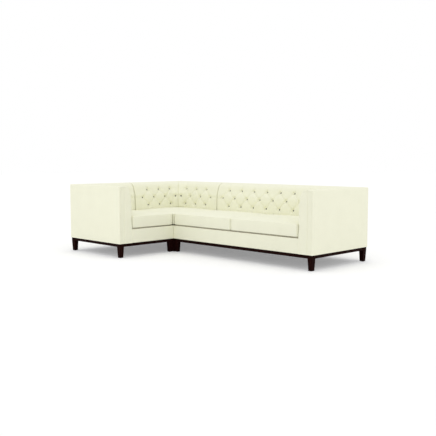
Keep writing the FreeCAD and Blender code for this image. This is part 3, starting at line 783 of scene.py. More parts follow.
@dataclass
class Tufting:
    """The quilted relief of a wall's pad: buttons in three rows, and the pleats between them."""

    wall: Wall
    profile: Profile
    row_drop: float = 0.084
    row_pitch: float = 0.0985
    pleat_depth: float = 0.0155
    upper_reach: float = 0.014
    lower_reach: float = 0.024
    swell: float = 0.0065
    button_depth: float = 0.0195
    button_reach: float = 0.0195
    gather: float = 0.0014
    gather_ring: tuple[float, float] = (0.026, 0.013)
    crest_run: float = 0.030
    seat_height: float = 0.105
    nose_over: float = 0.035
    unevenness: float = 0.0009
    sharpness: float = 4.0
    corner_share: float = 0.48
    pair_slack: float = 0.25

    def rows(self) -> list[list[tuple[float, float]]]:
        """Return the buttons of each row, top row first, as distance and run of cloth."""
        found = []
        for index, count in enumerate((self.wall.side_tufts, self.wall.tufts, self.wall.side_tufts)):
            shift = 0.0 if index == 1 else self.wall.pitch / 2.0
            run = self.profile.run_at(TOP - self.row_drop - self.row_pitch * index)
            first = self.wall.end - self.wall.margin - shift
            nearest = BAND + self.wall.next_pad + self.corner_share * self.wall.corner_round
            found.append([(max(first - self.wall.pitch * turn, nearest), run) for turn in range(count)])
        return found

    def pleats(self) -> list[tuple[tuple[float, float], tuple[float, float], float, float]]:
        """Return each pleat as its two ends and its depth there, as shares of the full depth."""
        upper, middle, lower = self.rows()
        half = self.wall.pitch / 2.0
        lines = []
        for row in (upper, lower):
            for tuft in row:
                for other in middle:
                    if abs(abs(tuft[0] - other[0]) - half) < self.pair_slack * half:
                        lines.append((tuft, other, 1.0, 1.0))
        seat = self.profile.run_at(DECK + self.seat_height)
        lines += [(tuft, (tuft[0], self.crest_run), 0.75, 0.0) for tuft in upper]
        lines += [(tuft, (tuft[0], seat), 0.7, 0.3) for tuft in lower]
        over = self.nose_over if self.wall.ending is Ending.FRONT else 0.0
        lines.append((middle[0], (self.wall.end + over, middle[0][1]), 0.6, 0.1 if over else 0.3))
        lines.append((middle[-1], (0.0, middle[-1][1]), 0.6, 0.3))
        return lines

    def relief(self, along: np.ndarray, run: np.ndarray) -> np.ndarray:
        """Return how far the cloth stands out of the plain profile.

        Args:
            along: Distance of each point from the corner end, unrolled round a front edge.
            run: Length of cloth down to each point.

        Returns:
            The outward distance of each point, in metres.
        """
        rows = self.rows()
        top_row, low_row = rows[0][0][1], rows[2][0][1]
        below_crest = smoothstep(0.35, 1.0, run / top_row)
        inside = below_crest * (1.0 - smoothstep(low_row + 0.03, low_row + 0.11, run))
        uneven = self.unevenness * ripple(along, run, 0.11, self.wall.seed)
        total = self.add_wells(-self.pleat_depth * self.pleat_shares(along, run), along, run)
        return total + self.swell * inside + uneven

    def pleat_shares(self, along: np.ndarray, run: np.ndarray) -> np.ndarray:
        """Return how deep the pleats are at each point, as shares of the full depth.

        Args:
            along: Unrolled distance of each point.
            run: Length of cloth down to each point.

        Returns:
            The shares, which blend softly where pleats meet.
        """
        margin = 0.16
        pleats = np.zeros(along.shape)
        for start, finish, deep, shallow in self.pleats():
            way = np.array(finish) - np.array(start)
            length = float(np.hypot(*way))
            way = way / length
            middle = ((start[0] + finish[0]) / 2.0, (start[1] + finish[1]) / 2.0)
            wide, deep_run = (abs(finish[axis] - start[axis]) / 2.0 + margin for axis in (0, 1))
            near = (np.abs(along - middle[0]) < wide) & (np.abs(run - middle[1]) < deep_run)
            off_s, off_u = along[near] - start[0], run[near] - start[1]
            travel = np.clip(off_s * way[0] + off_u * way[1], 0.0, length)
            gap_s, gap_u = off_s - travel * way[0], off_u - travel * way[1]
            distance = np.hypot(gap_s, gap_u)
            reach = np.where(gap_u < 0.0, self.upper_reach, self.lower_reach)
            if abs(way[0]) < 0.01:
                reach = np.full(distance.shape, (self.upper_reach + self.lower_reach) / 2.0)
            share = travel / length
            belly = 1.0 - 0.22 * np.sin(math.pi * share) if deep == shallow else 1.0
            depth = (deep + (shallow - deep) * share) * belly
            pleats[near] += (depth * np.exp(-distance / reach)) ** self.sharpness
        return pleats ** (1.0 / self.sharpness)

    def add_wells(self, total: np.ndarray, along: np.ndarray, run: np.ndarray) -> np.ndarray:
        """Sink a well with small gathers round each button.

        Args:
            total: The relief so far.
            along: Unrolled distance of each point.
            run: Length of cloth down to each point.

        Returns:
            The relief with its wells.
        """
        margin = 0.09
        rng = np.random.default_rng(self.wall.seed)
        for tuft in (tuft for row in self.rows() for tuft in row):
            folds, phase, size = rng.integers(5, 9), rng.uniform(0.0, math.tau), rng.uniform(0.7, 1.3)
            near = (np.abs(along - tuft[0]) < margin) & (np.abs(run - tuft[1]) < margin)
            off_s, off_u = along[near] - tuft[0], run[near] - tuft[1]
            distance = np.hypot(off_s, off_u)
            well = self.button_depth * bell(distance, self.button_reach)
            ring = bell(distance - self.gather_ring[0], self.gather_ring[1])
            total[near] -= well + self.gather * size * ring * np.cos(folds * np.arctan2(off_u, off_s) + phase)
        return total


@dataclass
class Surface:
    """A quad surface under construction: points in the sofa's frame, faces and cloth places."""

    points: np.ndarray
    faces: list[list[int]]
    cloth: Optional[np.ndarray] = None
    hidden: Optional[list[list[int]]] = None

    def mesh(self, name: str) -> bpy.types.Mesh:
        """Make the closed mesh, with merged doubles, outward faces and a cloth map in metres.

        Args:
            name: Name of the mesh.

        Returns:
            The mesh; its hidden faces are flat and meet the shown ones in sharp edges.
        """
        hidden = self.hidden or []
        mesh = bpy.data.meshes.new(name)
        mesh.from_pydata(self.points.tolist(), [], self.faces + hidden)
        box_uv(mesh)
        if self.cloth is not None:
            corners = np.array([corner for face in self.faces for corner in face])
            flat = np.empty(len(mesh.loops) * 2, dtype=np.float32)
            layer = mesh.uv_layers["cloth"]
            layer.data.foreach_get("uv", flat)
            flat[: len(corners) * 2] = self.cloth[corners].ravel()
            layer.data.foreach_set("uv", flat)
        work = bmesh.new()
        work.from_mesh(mesh)
        work.faces.ensure_lookup_table()
        shown = len(self.faces)
        for index, face in enumerate(work.faces):
            face.smooth = index < shown
        for face in work.faces[shown:]:
            for edge in face.edges:
                edge.smooth = False
        bmesh.ops.remove_doubles(work, verts=work.verts, dist=2e-6)
        bmesh.ops.recalc_face_normals(work, faces=work.faces)
        work.to_mesh(mesh)
        work.free()
        return mesh


def grid_faces(numbers: np.ndarray) -> list[list[int]]:
    """Return the quads of a grid of vertex numbers."""
    quads = np.stack([numbers[:-1, :-1], numbers[1:, :-1], numbers[1:, 1:], numbers[:-1, 1:]], axis=-1)
    return quads.reshape(-1, 4).tolist()


def surface_normals(points: np.ndarray) -> np.ndarray:
    """Find the unit normals of a grid of points.

    Args:
        points: The grid, by row and column.

    Returns:
        The normals, zero where the grid comes to a point.
    """
    down, across = np.gradient(points, axis=0), np.gradient(points, axis=1)
    normal = np.cross(across, down)
    length = np.linalg.norm(normal, axis=-1, keepdims=True)
    return np.where(length > 1e-10, normal / np.maximum(length, 1e-10), 0.0)


@dataclass
class TuftedPad:
    """The tufted inner pad of a wall, a closed form with a mitred corner end."""

    wall: Wall
    step: float = 0.0042
    joint_round: float = 0.004
    seam_reach: float = 0.0085
    seam_fall: float = 0.015
    nose_round: float = 0.026
    nose_top: float = 0.012
    strip_fall: float = 0.009
    strip_width: float = 0.036
    mitre_groove: float = 0.006
    seam_gap: float = 0.0050
    button_rise: float = 0.0035

    def __post_init__(self) -> None:
        """Lay the cross-section, the plain surface and the tufting over it."""
        self.section = self.profile()
        self.tufting = Tufting(self.wall, self.section)
        self.local, self.spread = self.plain()
        self.out = surface_normals(self.local)
        run = np.broadcast_to(self.section.run[:, None], self.spread.shape)
        relief = self.tufting.relief(self.spread, run) * self.calm
        self.shaped = self.local + self.out * relief[..., None]

    @property
    def end(self) -> float:
        """Distance from the corner end to the pad's open end."""
        return self.wall.end - (self.seam_gap if self.wall.ending is Ending.SEAM else 0.0)

    @property
    def base(self) -> float:
        """Height of the pad's underside."""
        return BASE if self.wall.ending is Ending.FRONT else DECK

    def profile(self) -> Profile:
        """Lay the cross-section: the joint on top, the rolled crest, the slope and the face."""
        pad = self.wall.pad
        face = BAND + pad
        share = pad / BACK_PAD
        small = self.joint_round
        joint = arc_points((BAND + small, TOP - small), small, 180.0, 90.0, 5)
        shape = [
            (BAND + pad * 0.42, TOP), (BAND + pad * 0.62, TOP - 0.010), (BAND + pad * 0.76, TOP - 0.030),
            (face - 0.030 * share, TOP - 0.062), (face - 0.020 * share, TOP - 0.100),
            (face - 0.002 * share, TOP - 0.150), (face, TOP - 0.185), (face, self.base),
        ]
        return Profile.through(np.concatenate([joint, np.array(shape)]), self.step, 0.05)

    def end_shape(self) -> tuple[np.ndarray, np.ndarray]:
        """Return how far before the open end its rounding starts, and how deep it falls."""
        section = self.section
        grow = np.clip(section.run * 0.8, 0.0, 1.0)
        if self.wall.ending is Ending.SEAM:
            return np.minimum(self.seam_reach, grow), np.minimum(self.seam_fall, grow)
        side = smoothstep(0.0, 0.045, TOP - section.height)
        target = self.nose_top + (self.nose_round - self.nose_top) * side
        target = 0.003 + (target - 0.003) * smoothstep(DECK - 0.02, DECK + 0.15, section.height)
        radius = np.minimum(target, grow)
        return radius, radius

    def bridge(self) -> np.ndarray:
        """Return the radius with which the cloth rounds the inner corner at each profile point."""
        section = self.section
        rounding = smoothstep(-0.002, 0.024, TOP - section.height) * smoothstep(0.0, 0.05, section.run)
        low = smoothstep(DECK + 0.10, DECK + 0.16, section.height)
        return self.wall.corner_round * rounding * (0.45 + 0.55 * low)

    def plain(self) -> tuple[np.ndarray, np.ndarray]:
        """Lay the pad's surface before its tufting.

        Returns:
            Points as distance, inward and height by row and column, and the unrolled distance of each.
        """
        wall, section = self.wall, self.section
        inward, height, run = (values[:, None] for values in (section.inward, section.height, section.run))
        out_inward, out_height = section.out_inward[:, None], section.out_height[:, None]
        reach, fall = (values[:, None] for values in self.end_shape())
        rounding = self.bridge()[:, None]
        front = wall.ending is Ending.FRONT
        mitre = BAND + (inward - BAND) * wall.next_pad / wall.pad
        tip = mitre + rounding * (1.0 - math.sqrt(0.5))
        straight = self.end - reach
        columns = max(int((self.end - BAND - wall.next_pad * 0.6) / self.step), 8)
        along = tip + (straight - tip) * np.linspace(0.0, 1.0, columns)[None, :]
        left = np.clip(rounding - (along - mitre), 0.0, None)
        rise = rounding - np.sqrt(np.clip(rounding**2 - left**2, 0.0, None))
        groove = quarter_drop(along - tip, np.full(along.shape, self.mitre_groove))
        groove = groove * smoothstep(0.0, 0.01, run)
        parts = [stack(
            along - out_inward * groove, inward + rise - out_inward * groove, height - out_height * groove
        )]
        turn_count, fan_count = (9, 28) if front else (5, 10)
        turns = np.linspace(0.0, math.pi / 2.0, turn_count)[None, 1:]
        sunk = fall * (1.0 - np.cos(turns))
        parts.append(stack(
            straight + reach * np.sin(turns), inward - out_inward * sunk, height - out_height * sunk
        ))
        fan = np.linspace(0.0, 1.0, fan_count)[None, 1:]
        edge_in, edge_up = inward - out_inward * fall, height - out_height * fall
        line_up = (TOP - self.joint_round) + (self.base - TOP + self.joint_round) * (run / run[-1]) ** 1.15
        fan_in = edge_in + (BAND - edge_in) * fan
        recess = np.zeros(fan_in.shape)
        if front:
            width = self.strip_width
            recess = self.strip_fall * quarter_drop(fan_in - BAND, np.full(fan_in.shape, width)) / width
        parts.append(stack(self.end - recess, fan_in, edge_up + (line_up - edge_up) * fan))
        fan_length = np.hypot(edge_in - BAND, edge_up - line_up)
        turned = straight + np.maximum(reach, fall) * turns
        spread = np.concatenate([along, turned, turned[:, -1:] + fan_length * fan], axis=1)
        self.calm = self.calming(spread, tip, turned[:, -1:])
        return np.concatenate(parts, axis=1), spread

    def calming(self, spread: np.ndarray, tip: np.ndarray, edge: np.ndarray) -> np.ndarray:
        """Return how much of the relief is left near the joint, the ends and the base.

        Args:
            spread: Unrolled distance of each point.
            tip: Distance at which each row leaves the inner corner.
            edge: Unrolled distance at which each row has rounded the open end.

        Returns:
            A share from 0 to 1 at each point.
        """
        height = self.section.height[:, None]
        calm = smoothstep(0.0, 0.05, self.section.run[:, None]) * smoothstep(0.0, 0.02, height - self.base)
        calm = calm * smoothstep(-0.004, 0.03, spread - tip)
        if self.wall.ending is Ending.FRONT:
            below = smoothstep(DECK - 0.01, DECK + 0.05, height)
            return calm * below * (1.0 - smoothstep(-0.03, 0.06, spread - edge))
        return calm * (1.0 - smoothstep(-0.022, 0.0, spread - edge))

    def build(self, finish: bpy.types.Material) -> bpy.types.Object:
        """Build the pad.

        Args:
            finish: The cloth of the pad.

        Returns:
            The finished piece.
        """
        shaped = self.shaped
        rows, columns, _ = shaped.shape
        points = self.wall.place(shaped[..., 0], shaped[..., 1], shaped[..., 2]).reshape(-1, 3)
        heel = self.wall.place(np.array(BAND), np.array(BAND), np.array(self.base))
        numbers = np.arange(rows * columns).reshape(rows, columns)
        key = rows * columns
        hidden = [
            numbers[-1].tolist() + [key],
            numbers[:, 0].tolist() + [key],
            numbers[0].tolist() + numbers[1:, -1].tolist() + [key],
        ]
        run = np.broadcast_to(self.section.run[:, None], self.spread.shape)
        cloth = np.stack([self.spread, run], axis=-1).reshape(-1, 2)
        cloth = np.concatenate([cloth, [[0.0, 0.0]]])
        surface = Surface(np.concatenate([points, heel[None, :]]), grid_faces(numbers), cloth, hidden)
        name = f"{self.wall.name}_tufted_pad"
        return link_piece(name, surface.mesh(name), finish)

    def spots(self) -> tuple[np.ndarray, np.ndarray]:
        """Return where the buttons sit on the finished cloth, and which way they face."""
        wall = self.wall
        places, facings = [], []
        for row in self.tufting.rows():
            for distance, run in row:
                line = int(np.abs(self.section.run - run).argmin())
                column = int(np.abs(self.spread[line] - distance).argmin())
                near = self.out[max(line - 8, 0): line + 9: 8, max(column - 8, 0): column + 9: 8]
                out = near.mean(axis=(0, 1))
                out = out / np.linalg.norm(out)
                spot = self.shaped[line, column] + out * self.button_rise
                places.append(wall.place(spot[0], spot[1], spot[2]))
                flat = [out[0] * wall.along[axis] + out[1] * wall.inward[axis] for axis in (0, 1)]
                facings.append(np.array([*flat, out[2]]))
        return np.array(places), np.array(facings)


@dataclass
class WallCover:
    """The outer casing of a wall: its side, top band and open end, over a hollow for the frame."""

    wall: Wall
    skin: float = 0.008
    edge: float = 0.010
    seam_reach: float = 0.005
    joint_round: float = 0.004
    wrap: float = 0.017
    wrap_depth: float = 0.0035
    wrap_width: float = 0.0013
    strip_depth: float = 0.0045
    panel_round: float = 0.0028
    step: float = 0.012
    wave: float = 0.0008

    def build(self, finish: bpy.types.Material) -> bpy.types.Object:
        """Build the casing.

        Args:
            finish: The cloth of the casing.

        Returns:
            The finished piece.
        """
        levels = np.linspace(BASE, TOP - self.edge, int((TOP - BASE) / self.step))
        round_wrap = np.array([0.002, 0.004, 0.0055, 0.0065, 0.007, 0.0075, 0.0085, 0.010, 0.013])
        round_joint = np.array([0.7, 0.4, 0.15, 0.0])
        across = np.concatenate([
            self.edge + round_wrap,
            np.linspace(0.027, BAND - self.joint_round, 6),
            BAND - self.joint_round * round_joint,
        ])
        return self.close_up(self.lay_shell(levels, across), self.lay_panel(levels, across), finish)

    def lay_shell(self, levels: np.ndarray, across: np.ndarray) -> np.ndarray:
        """Lay the outer side, the top band and the rounding towards the open end.

        Args:
            levels: Heights of the side's grid lines.
            across: Inward places of the top band's grid lines.

        Returns:
            Points by row and column, in wall distances.
        """
        wall, edge = self.wall, self.edge
        reach = edge if wall.ending is Ending.FRONT else self.seam_reach
        turn = np.radians(np.linspace(0.0, 90.0, 7))[1:]
        dip = quarter_drop(BAND - across, np.full(across.shape, self.joint_round))
        inward = np.concatenate([np.zeros(len(levels)), edge - edge * np.cos(turn), across])
        height = np.concatenate([levels, TOP - edge + edge * np.sin(turn), TOP - dip])
        heart_in = np.concatenate([np.full(len(levels) + len(turn), edge), across])
        heart_up = np.concatenate([levels, np.full(len(turn) + len(across), TOP - edge)])
        inward, height, heart_in, heart_up = (part[:, None] for part in (inward, height, heart_in, heart_up))
        spare = np.maximum(edge - inward, 0.0)
        swing = np.radians(np.linspace(45.0, 0.0, 5))[None, :]
        bend = stack(inward + spare * (1.0 - np.sin(swing)), inward + spare * (1.0 - np.cos(swing)), height)
        share = np.linspace(0.0, 1.0, int(wall.length / self.step))[None, 1:]
        begin, straight = inward + spare, wall.end - reach
        run = stack(begin + (straight - begin) * share, inward, height)
        quarter = np.linspace(0.0, math.pi / 2.0, 7)[None, 1:]
        close = stack(
            straight + reach * np.sin(quarter),
            heart_in + (inward - heart_in) * np.cos(quarter),
            heart_up + (height - heart_up) * np.cos(quarter),
        )
        shell = np.concatenate([bend, run, close], axis=1)
        calm = smoothstep(0.0, 0.06, shell[..., 0]) * smoothstep(0.0, 0.05, wall.end - shell[..., 0])
        calm = calm * (inward < 1e-6) * smoothstep(0.0, 0.04, TOP - edge - height)
        shell[..., 1] -= self.wave * calm * ripple(shell[..., 0], shell[..., 2], 0.24, wall.seed + 5)
        return shell

    def lay_panel(self, levels: np.ndarray, across: np.ndarray) -> np.ndarray:
        """Lay the end panel, whose front strip lies behind the line where the side cloth wraps round.

        Args:
            levels: Heights of the panel's grid lines.
            across: Inward places of the panel's grid lines.

        Returns:
            Points by row and column, in wall distances.
        """
        inward = np.concatenate([[self.edge], across])[None, :]
        height = levels[:, None]
        fade = smoothstep(0.0, 0.008, TOP - self.edge - height)
        sink = np.zeros((len(levels), inward.shape[1]))
        if self.wall.ending is Ending.FRONT:
            sink = self.wrap_depth * bell(inward - self.wrap, self.wrap_width) * fade
            sink = sink + self.strip_depth * smoothstep(-0.0015, 0.004, inward - self.wrap) * fade
        sink = sink + quarter_drop(BAND - inward, np.full(inward.shape, self.panel_round)) * fade
        return stack(self.wall.end - sink, inward, height)

    def close_up(self, shell: np.ndarray, panel: np.ndarray, finish: bpy.types.Material) -> bpy.types.Object:
        """Give the casing its thickness and close its rims.

        Args:
            shell: Points of the side, top and end rounding, in wall distances.
            panel: Points of the end panel, in wall distances.
            finish: The cloth of the casing.

        Returns:
            The finished piece.
        """
        wall, skin = self.wall, self.skin
        outer = np.concatenate([shell.reshape(-1, 3), panel.reshape(-1, 3)])
        shell_numbers, panel_numbers = (
            np.arange(part[..., 0].size).reshape(part.shape[:2]) for part in (shell, panel)
        )
        panel_numbers += shell_numbers.size
        work = bmesh.new()
        verts = [work.verts.new(point) for point in outer]
        for face in grid_faces(shell_numbers) + grid_faces(panel_numbers[:, ::-1]):
            work.faces.new([verts[corner] for corner in face]).smooth = True
        bmesh.ops.remove_doubles(work, verts=work.verts, dist=2e-6)
        bmesh.ops.recalc_face_normals(work, faces=work.faces)
        shown = list(work.verts)
        inner = []
        for vert in shown:
            inward = max(vert.co.y, skin)
            inner.append((max(min(vert.co.x, wall.end - skin), inward), inward, min(vert.co.z, TOP - skin)))
        rims = [(edge.verts[0], edge.verts[1], edge) for edge in work.edges if edge.is_boundary]
        faces = list(work.faces)
        twins = [work.verts.new(place) for place in inner]
        first = dict(zip(shown, twins))
        for face in faces:
            work.faces.new([first[vert] for vert in reversed(face.verts)])
        for start, stop, edge in rims:
            edge.smooth = False
            work.faces.new([start, stop, first[stop], first[start]])
        bmesh.ops.remove_doubles(work, verts=list(first.values()), dist=2e-6)
        for vert in work.verts:
            vert.co = Vector(wall.place(vert.co.x, vert.co.y, vert.co.z))
        bmesh.ops.recalc_face_normals(work, faces=work.faces)
        name = f"{wall.name}_casing"
        mesh = bpy.data.meshes.new(name)
        work.to_mesh(mesh)
        work.free()
        box_uv(mesh)
        return link_piece(name, mesh, finish)


# ---------------------------------------------------------------------------------------------
# Rounded slabs: cushions, decks and borders
# ---------------------------------------------------------------------------------------------


def soft_ticks(low: float, high: float, radius: float, step: float) -> np.ndarray:
    """Lay grid lines along one side of a rounded box, closer together on its edges.

    Args:
        low: Where the side starts.
        high: Where it ends.
        radius: Radius of its edges.
        step: Distance of the lines between the edges.

    Returns:
        The places of the lines.
    """
    bend = radius * (1.0 - np.tan(np.radians([45.0, 36.0, 27.0, 18.0, 9.0])))
    count = max(int(round((high - low - 2.0 * radius) / step)), 1)
    middle = np.linspace(low + radius, high - radius, count + 1)
    return np.concatenate([low + bend, middle, (high - bend)[::-1]])


@dataclass
class RoundedSlab:
    """A box with rounded edges, as a lattice of quads with a normal at each point."""

    low: np.ndarray
    high: np.ndarray
    radius: float
    step: float

    def __post_init__(self) -> None:
        """Build the lattice over the six sides."""
        ticks = [soft_ticks(self.low[axis], self.high[axis], self.radius, self.step) for axis in range(3)]
        shape = tuple(len(line) for line in ticks)
        outside = np.zeros(shape, dtype=bool)
        for axis in range(3):
            picked: list[slice | int] = [slice(None)] * 3
            for side in (0, -1):
                picked[axis] = side
                outside[tuple(picked)] = True
        number = np.full(shape, -1)
        number[outside] = np.arange(outside.sum())
        mesh = np.stack(np.meshgrid(*ticks, indexing="ij"), axis=-1)[outside]
        self.faces = []
        for axis in range(3):
            for side in (0, -1):
                sheet = np.take(number, side, axis=axis)
                flip = (side == 0) == (axis != 1)
                self.faces += grid_faces(sheet[:, ::-1] if flip else sheet)
        core = np.clip(mesh, self.low + self.radius, self.high - self.radius)
        away = mesh - core
        self.normals = away / np.linalg.norm(away, axis=1)[:, None]
        self.points = core + self.radius * self.normals

    def shares(self) -> np.ndarray:
        """Return each point's place between the low and the high corner, from -1 to 1."""
        return 2.0 * (self.points - self.low) / (self.high - self.low) - 1.0


def node_box(*nodes: str) -> tuple[np.ndarray, np.ndarray]:
    """Return the lowest and highest corners that hold CAD nodes."""
    corners = [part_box(node) for node in nodes]
    low = np.min([np.array(pair[0]) for pair in corners], axis=0)
    return low, np.max([np.array(pair[1]) for pair in corners], axis=0)


@dataclass
class SeatCushion:
    """A loose seat cushion: a crowned form with rounded edges, flat where it rests on the deck."""

    seat: str
    seed: int
    edge: float = 0.012
    crown: float = 0.012
    lift: float = 0.0045
    lift_reach: float = 0.035
    corner: float = 0.024
    cap: float = 0.012
    settle: float = 0.6
    frames: int = 20
    unevenness: float = 0.0018
    draw: float = 0.004
    belly: float = 0.003
    step: float = 0.0135
    back_round: float = 0.030
    trim: tuple[float, float, float, float] = (0.0, 0.0, 0.0, 0.0)

    @property
    def name(self) -> str:
        """Name of the finished piece."""
        return f"{self.seat}_cushion_cloth"

    @property
    def node(self) -> str:
        """Name of the CAD node that the piece stands for."""
        return f"{self.seat}_seat_cushion"

    @property
    def body(self) -> str:
        """Name of the body that the piece is."""
        return f"{self.seat}_cushion"

    def build(self, finish: bpy.types.Material) -> bpy.types.Object:
        """Build the cushion.

        Args:
            finish: The cloth of the cushion.

        Returns:
            The finished piece.
        """
        low, high = node_box(self.node)
        high = high - np.array([0.0, 0.0, self.crown])
        low = low + np.array([self.trim[0], self.trim[2], 0.0])
        high = high - np.array([self.trim[1], self.trim[3], 0.0])
        slab = RoundedSlab(low, high, self.edge, self.step)
        points = self.fill_out(slab)
        self.draw_under(points, low, high)
        for side_x in (-1.0, 1.0):
            for side_y in (-1.0, 1.0):
                radius = self.back_round if side_x < 0.0 < side_y else self.corner
                self.round_corner(points, low, high, (side_x, side_y), radius)
        piece = link_piece(self.name, Surface(points, slab.faces).mesh(self.name), finish)
        self.inflate(piece)
        smooth = piece.modifiers.new("smooth", "SUBSURF")
        smooth.levels = smooth.render_levels = 1
        bake_modifiers(piece)
        box_uv(piece.data)
        return piece

    def fill_out(self, slab: RoundedSlab) -> np.ndarray:
        """Crown the top and let the sides belly.

        Args:
            slab: The plain rounded box.

        Returns:
            Its points, filled out and flat below.
        """
        share = slab.shares()
        points, out = slab.points.copy(), slab.normals
        bow_x, bow_y = (1.0 - np.abs(share[:, axis]) ** 2.6 for axis in (0, 1))
        bow_z = 1.0 - np.abs(share[:, 2]) ** 2.0
        up = np.clip(out[:, 2], 0.0, None)
        rise = self.crown * np.clip(bow_x, 0, 1) ** 0.8 * np.clip(bow_y, 0, 1) ** 0.8
        uneven = self.unevenness * ripple(points[:, 0], points[:, 1], 0.30, self.seed)
        points[:, 2] += up * (rise + uneven * bow_x * bow_y)
        side = np.hypot(out[:, 0], out[:, 1])
        push = self.belly * bow_z * side - self.draw * side * 0.5
        for axis, bow in ((0, bow_y), (1, bow_x)):
            points[:, axis] += out[:, axis] * (push - self.draw * (bow - 1.0) * 0.5 - self.draw * 0.5)
        points[:, 2] = np.maximum(points[:, 2], slab.low[2])
        return points

    def draw_under(self, points: np.ndarray, low: np.ndarray, high: np.ndarray) -> None:
        """Lift the lower rim off the deck, so that a dark line shows under the cushion.

        Args:
            points: Points of the cushion, which are moved.
            low: Lowest corner of the cushion.
            high: Highest corner of the cushion.
        """
        rim = rim_distance(points, low, high)
        under = 1.0 - smoothstep(0.0, 0.045, points[:, 2] - low[2])
        points[:, 2] += self.lift * under * (1.0 - smoothstep(0.0, self.lift_reach, rim))
        below = np.clip(points[:, 2] - low[2], 0.0, self.edge)
        points[:, 2] -= 0.5 * below * (1.0 - smoothstep(self.edge, 3.0 * self.edge, points[:, 2] - low[2]))

    def inflate(self, piece: bpy.types.Object) -> None:
        """Fill the cushion by a cloth simulation, and keep a little of how its cover settles.

        Args:
            piece: The cushion, whose mesh is changed.
        """
        before = mesh_points(piece.data)
        low, high = before.min(axis=0), before.max(axis=0)
        depth = np.minimum(high[2] - self.crown - before[:, 2], before[:, 2] - low[2])
        rim = rim_distance(before, low, high)
        seam = np.flatnonzero((rim < self.edge) & (np.abs(rim - depth) < 0.35 * self.edge))
        piece.vertex_groups.new(name="seams").add(seam.tolist(), 1.0, "REPLACE")
        move = self.simulate(piece, "seams") - before
        length = np.linalg.norm(move, axis=1, keepdims=True)
        log.info("%s: %d seam points held, up to %.1f mm filled", self.name, len(seam), 1e3 * length.max())
        move *= self.settle * np.minimum(1.0, self.cap / np.maximum(length, 1e-9))
        move *= smoothstep(0.0, 0.05, before[:, 2] - low[2])[:, None]
        move[:, :2] *= 0.5
        settled = before + move
        settled[:, :2] = np.clip(settled[:, :2], low[:2], high[:2])
        piece.data.vertices.foreach_set("co", settled.ravel())
        piece.data.update()

    def simulate(self, piece: bpy.types.Object, seams: str) -> np.ndarray:
        """Run the cloth simulation under pressure, without gravity.

        Args:
            piece: The cushion.
            seams: Name of the vertex group that stays put.

        Returns:
            Where its points end.
        """
        cloth = piece.modifiers.new("cloth", "CLOTH")
        settings = cloth.settings
        settings.vertex_group_mass = seams
        settings.quality = 4
        settings.mass = 0.3
        settings.tension_stiffness = settings.compression_stiffness = 12.0
        settings.bending_stiffness = 0.35
        settings.use_pressure = True
        settings.uniform_pressure_force = 4.0
        settings.effector_weights.gravity = 0.0
        cloth.collision_settings.use_collision = False
        cloth.point_cache.frame_start, cloth.point_cache.frame_end = 1, self.frames
        scene = bpy.context.scene
        for moment in range(1, self.frames + 1):
            scene.frame_set(moment)
        filled = piece.evaluated_get(bpy.context.evaluated_depsgraph_get())
        places = mesh_points(filled.to_mesh())
        filled.to_mesh_clear()
        piece.modifiers.remove(cloth)
        piece.vertex_groups.clear()
        scene.frame_set(1)
        return places

    def round_corner(
        self, points: np.ndarray, low: np.ndarray, high: np.ndarray, sides: tuple[float, float], radius: float
    ) -> None:
        """Round one upright corner in plan.

        Args:
            points: Points of the cushion, which are moved.
            low: Lowest corner of the cushion.
            high: Highest corner of the cushion.
            sides: Which corner, as -1 or 1 along X and Y.
            radius: Radius of the corner in metres.
        """
        offs = []
        for axis, side in enumerate(sides):
            edge = high[axis] if side > 0.0 else low[axis]
            offs.append(side * (points[:, axis] - (edge - side * radius)))
        inside = (offs[0] > 0.0) & (offs[1] > 0.0)
        scale = np.maximum(offs[0], offs[1])[inside] / np.hypot(offs[0][inside], offs[1][inside])
        for axis, side in enumerate(sides):
            edge = high[axis] if side > 0.0 else low[axis]
            points[inside, axis] = edge - side * radius + side * offs[axis][inside] * scale


@dataclass
class UpholsteredBoard:
    """A thin padded board under cloth, such as a rail front or a seat deck."""

    name: str
    radius: float
    step: float
    seed: int
    boxes: list[tuple[np.ndarray, np.ndarray]]
    swell: float = 0.0008

    def build(self, finish: bpy.types.Material) -> bpy.types.Object:
        """Build the board.

        Args:
            finish: The cloth of the board.

        Returns:
            The finished piece.
        """
        points, faces, start = [], [], 0
        for low, high in self.boxes:
            span = high - low
            slab = RoundedSlab(low, high, min(self.radius, 0.45 * float(span.min())), self.step)
            share = slab.shares()
            thin = int(span.argmin())
            rest = [axis for axis in range(3) if axis != thin]
            calm = np.prod([np.clip(1.0 - np.abs(share[:, axis]) ** 4.0, 0.0, 1.0) for axis in rest], axis=0)
            waves = ripple(slab.points[:, rest[0]], slab.points[:, rest[1]], 0.16, self.seed)
            shift = self.swell * calm * (0.4 + 0.6 * waves) * slab.normals[:, thin]
            shaped = slab.points.copy()
            shaped[:, thin] += np.clip(shift, -0.0002, None) if thin == 2 else shift
            points.append(shaped)
            faces += [[corner + start for corner in face] for face in slab.faces]
            start += len(shaped)
        surface = Surface(np.concatenate(points), faces)
        return link_piece(self.name, surface.mesh(self.name), finish)


# ---------------------------------------------------------------------------------------------
# Repeated pieces by Geometry Nodes
# ---------------------------------------------------------------------------------------------


